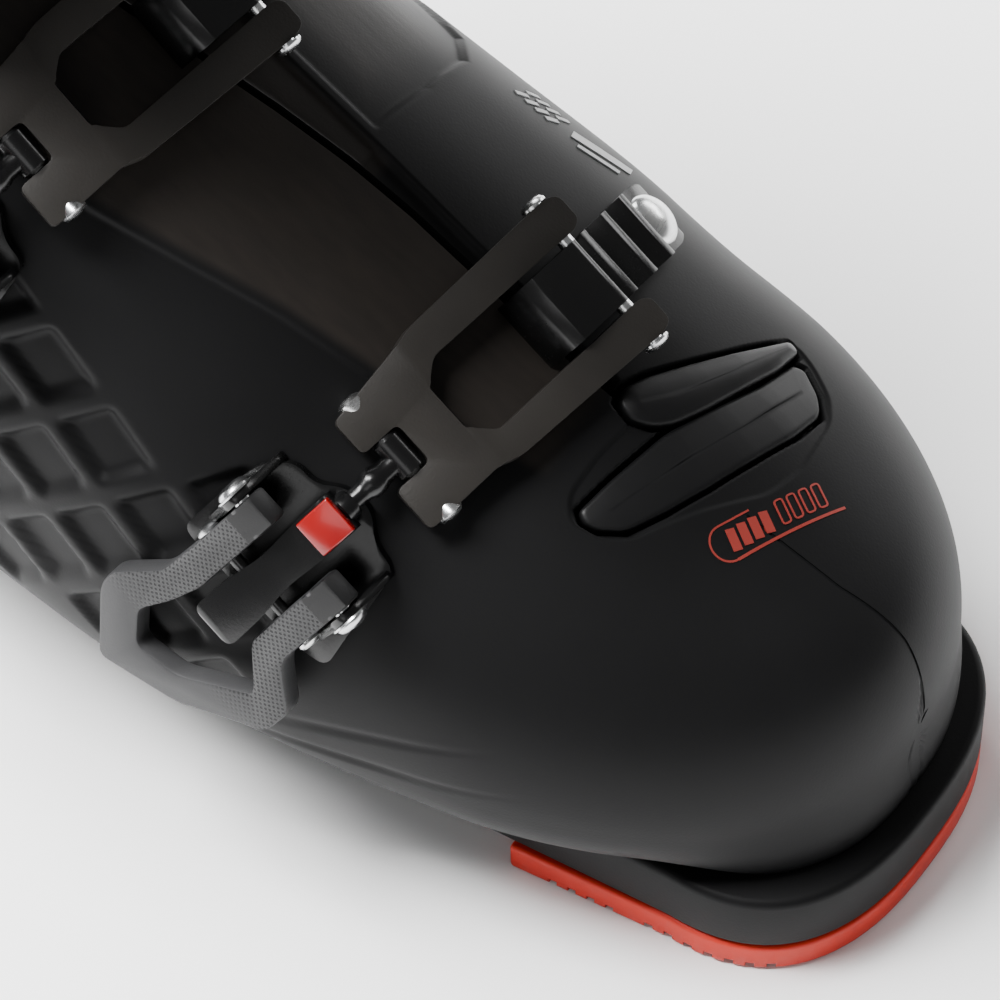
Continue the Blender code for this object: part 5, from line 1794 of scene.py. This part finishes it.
def walk_housing():
    """A block on the back of the cuff with a channel that the lever lies in."""
    box = bevelled(prism(rounded(oblong(-11, 11, -23, 23), 4), -8, 9), 1.2, 3)
    channel = prism(oblong(-6.3, 6.3, -30, 19), 2, 20)
    cut(box, channel, bar(WALK_PIVOT, WALK_PIVOT_RADIUS + GAP, -9, 9))
    leg = loft([[cuff_point(a, z, -GAP) for a in round_leg(96)] for z in range(100, 200, 4)])
    return cut(moved(box, walk_place()), leg)


def walk_lever():
    """The lever that frees the cuff, with finger ridges near its tip."""
    arm = bevelled(slab(rounded(WALK_PROFILE, 1.2, 4), -5.8, 5.8), 0.7, 3)
    ridges = [bar((2.0 + 2.2 * k, 8.55 + 0.9 * max(0, k - 2)), 0.5, -4.6, 4.6) for k in range(5)]
    pieces = [arm, bar(WALK_PIVOT, WALK_PIVOT_RADIUS, -8.5, 8.5), *ridges]
    return moved(together(*(flat_uv(piece, SIDE) for piece in pieces)), walk_place())


# ---------------------------------------------------------------- all pieces


def foot_solid(inset):
    """The solid inside the foot shell's surface, moved inwards by inset."""
    angles = np.linspace(0, 2 * pi, 110, endpoint=False)
    sections = shell_sections(False)[8:]
    return loft([[Vector(p) for p in ring_points(section, angles, inset)] for section in sections])


def leg_solid(inset):
    """The solid inside the cuff's surface, moved inwards by inset."""
    return loft([[cuff_point(a, z, inset) for a in round_leg(110)] for z in range(90, 306, 6)])


def build_pieces():
    """Makes every piece, gives each its material and body, and hides the CAD nodes it stands for."""
    finish(shell_skin(), "shell_skin", "shell", "foot", ("lower_shell",), "shell_grey", 75)
    finish(sole_frame(), "sole_frame", "shell", "foot", ("lower_shell",), "shell_grey")
    finish(toe_pad(), "toe_pad_tread", "orange", "foot", ("toe_sole_pad",), "sole_orange")
    finish(heel_pad(), "heel_pad_tread", "orange", "foot", ("heel_sole_pad",), "sole_orange")
    finish(boot_board(), "footbed_board", "board", "foot", ("boot_board",), "board_grey")
    for name, place in SOLE_SCREWS.items():
        finish(sole_screw(*place), f"{name}_head", "zinc", "foot", (name,), "zinc")
    seal = crowned(PAD_OUTLINE, PAD_SPINE, -3.0, -0.4, -0.1)
    finish(seal, "throat_pad", "rubber", "foot", ("throat_seal",), "liner_black")
    beak = crowned(BEAK_OUTLINE, BEAK_SPINE, -3.0, 0.4, 1.2)
    finish(beak, "throat_beak", "rubber", "foot", ("throat_flap",), "shell_grey")
    finish(printed_mark(), "printed_mark", "mark", "foot", (), "adjuster_red")
    finish(side_print(), "side_print", "print", "foot", (), "zinc")
    finish(cuff_skin(), "cuff_skin", "shell", "cuff", ("cuff",), "shell_grey")
    finish(pivot_pin(-1), "cuff_rivet_lateral", "zinc", "foot", ("cuff_pivot_lateral",), "zinc")
    finish(pivot_pin(1), "cuff_rivet_medial", "zinc", "foot", ("cuff_pivot_medial",), "zinc")
    sock = finish(liner_sock(), "liner_sock", "liner", "foot", ("liner_foot",), "liner_black")
    shaft = finish(liner_shaft(), "liner_shaft", "liner", "cuff", ("liner_cuff",), "liner_black")
    shaft.parent = None
    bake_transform(shaft)
    tongue = finish(liner_tongue(), "tongue_pad", "liner", "cuff", ("liner_tongue",), "liner_black")
    finish(strap_band(), "strap_band", "webbing", "cuff", ("power_strap",), "strap_black")
    finish(strap_tail(), "strap_tail", "webbing", "cuff", (), "strap_black")
    finish(strap_stitches(), "strap_stitches", "thread", "cuff", (), "strap_black")
    finish(rear_spoiler(), "spoiler_plate", "black", "cuff", ("rear_spoiler",), "hardware_black")
    finish(walk_housing(), "walk_block", "black", "cuff", ("walk_housing",), "hardware_black")
    finish(walk_lever(), "walk_arm", "lever", "walk_lever_arm", ("walk_lever",), "lever_grey")
    for name, place in foot_buckles().items():
        buckle(name, place, foot_solid, "foot")
    for name, place in cuff_buckles().items():
        buckle(name, place, leg_solid, "cuff")


def world_and_floor():
    """An even pale sky and a plain pale floor."""
    world = bpy.data.worlds.new("studio")
    world.use_nodes = True
    sky = world.node_tree.nodes["Background"]
    sky.inputs["Color"].default_value = (1.0, 1.0, 1.0, 1)
    sky.inputs["Strength"].default_value = WORLD_LIGHT
    bpy.context.scene.world = world

    def build(work):
        bmesh.ops.create_grid(work, x_segments=2, y_segments=2, size=FLOOR_SIZE / 2)

    floor = mesh_from(build, "studio_floor")
    bpy.context.scene.collection.objects.link(floor)
    n = Nodes("floor_paper")
    grain = n.noise(600, 3)
    floor.data.materials.append(n.surface((0.93, 0.93, 0.93), n.between(grain, 0.75, 0.85)))
    floor.data.transform(Matrix.Translation((0, 0, FLOOR_HEIGHT)))


def lights():
    """The four soft boxes."""
    for name, place, aim, size, power in LIGHTS:
        lamp = bpy.data.lights.new(name, "AREA")
        lamp.shape = "RECTANGLE"
        lamp.size, lamp.size_y = size
        lamp.energy = power
        holder = bpy.data.objects.new(name, lamp)
        holder.location = place
        holder.rotation_euler = (Vector(aim) - Vector(place)).to_track_quat("-Z", "Y").to_euler()
        bpy.context.scene.collection.objects.link(holder)


def camera():
    """The camera, turned round its own axis by the roll and shifted aside in its own plane."""
    lens = bpy.data.cameras.new("camera")
    lens.lens = CAMERA_LENS
    lens.sensor_width = 36.0
    lens.clip_start = 0.05
    holder = bpy.data.objects.new("camera", lens)
    azimuth, elevation, roll = (radians(a) for a in CAMERA_ANGLES)
    back = Vector((sin(azimuth) * cos(elevation), -cos(azimuth) * cos(elevation), sin(elevation)))
    right = Vector((cos(azimuth), sin(azimuth), 0))
    facing = Matrix((right, back.cross(right), back)).transposed() @ Matrix.Rotation(-roll, 3, "Z")
    aim = Vector(CAMERA_TARGET) - ORIGIN
    place = (aim + back * CAMERA_DISTANCE - facing @ Vector((*CAMERA_ASIDE, 0))) * MM
    holder.matrix_world = Matrix.Translation(place) @ facing.to_4x4()
    bpy.context.scene.collection.objects.link(holder)
    bpy.context.scene.camera = holder


def main():
    build_pieces()
    world_and_floor()
    lights()
    camera()


main()
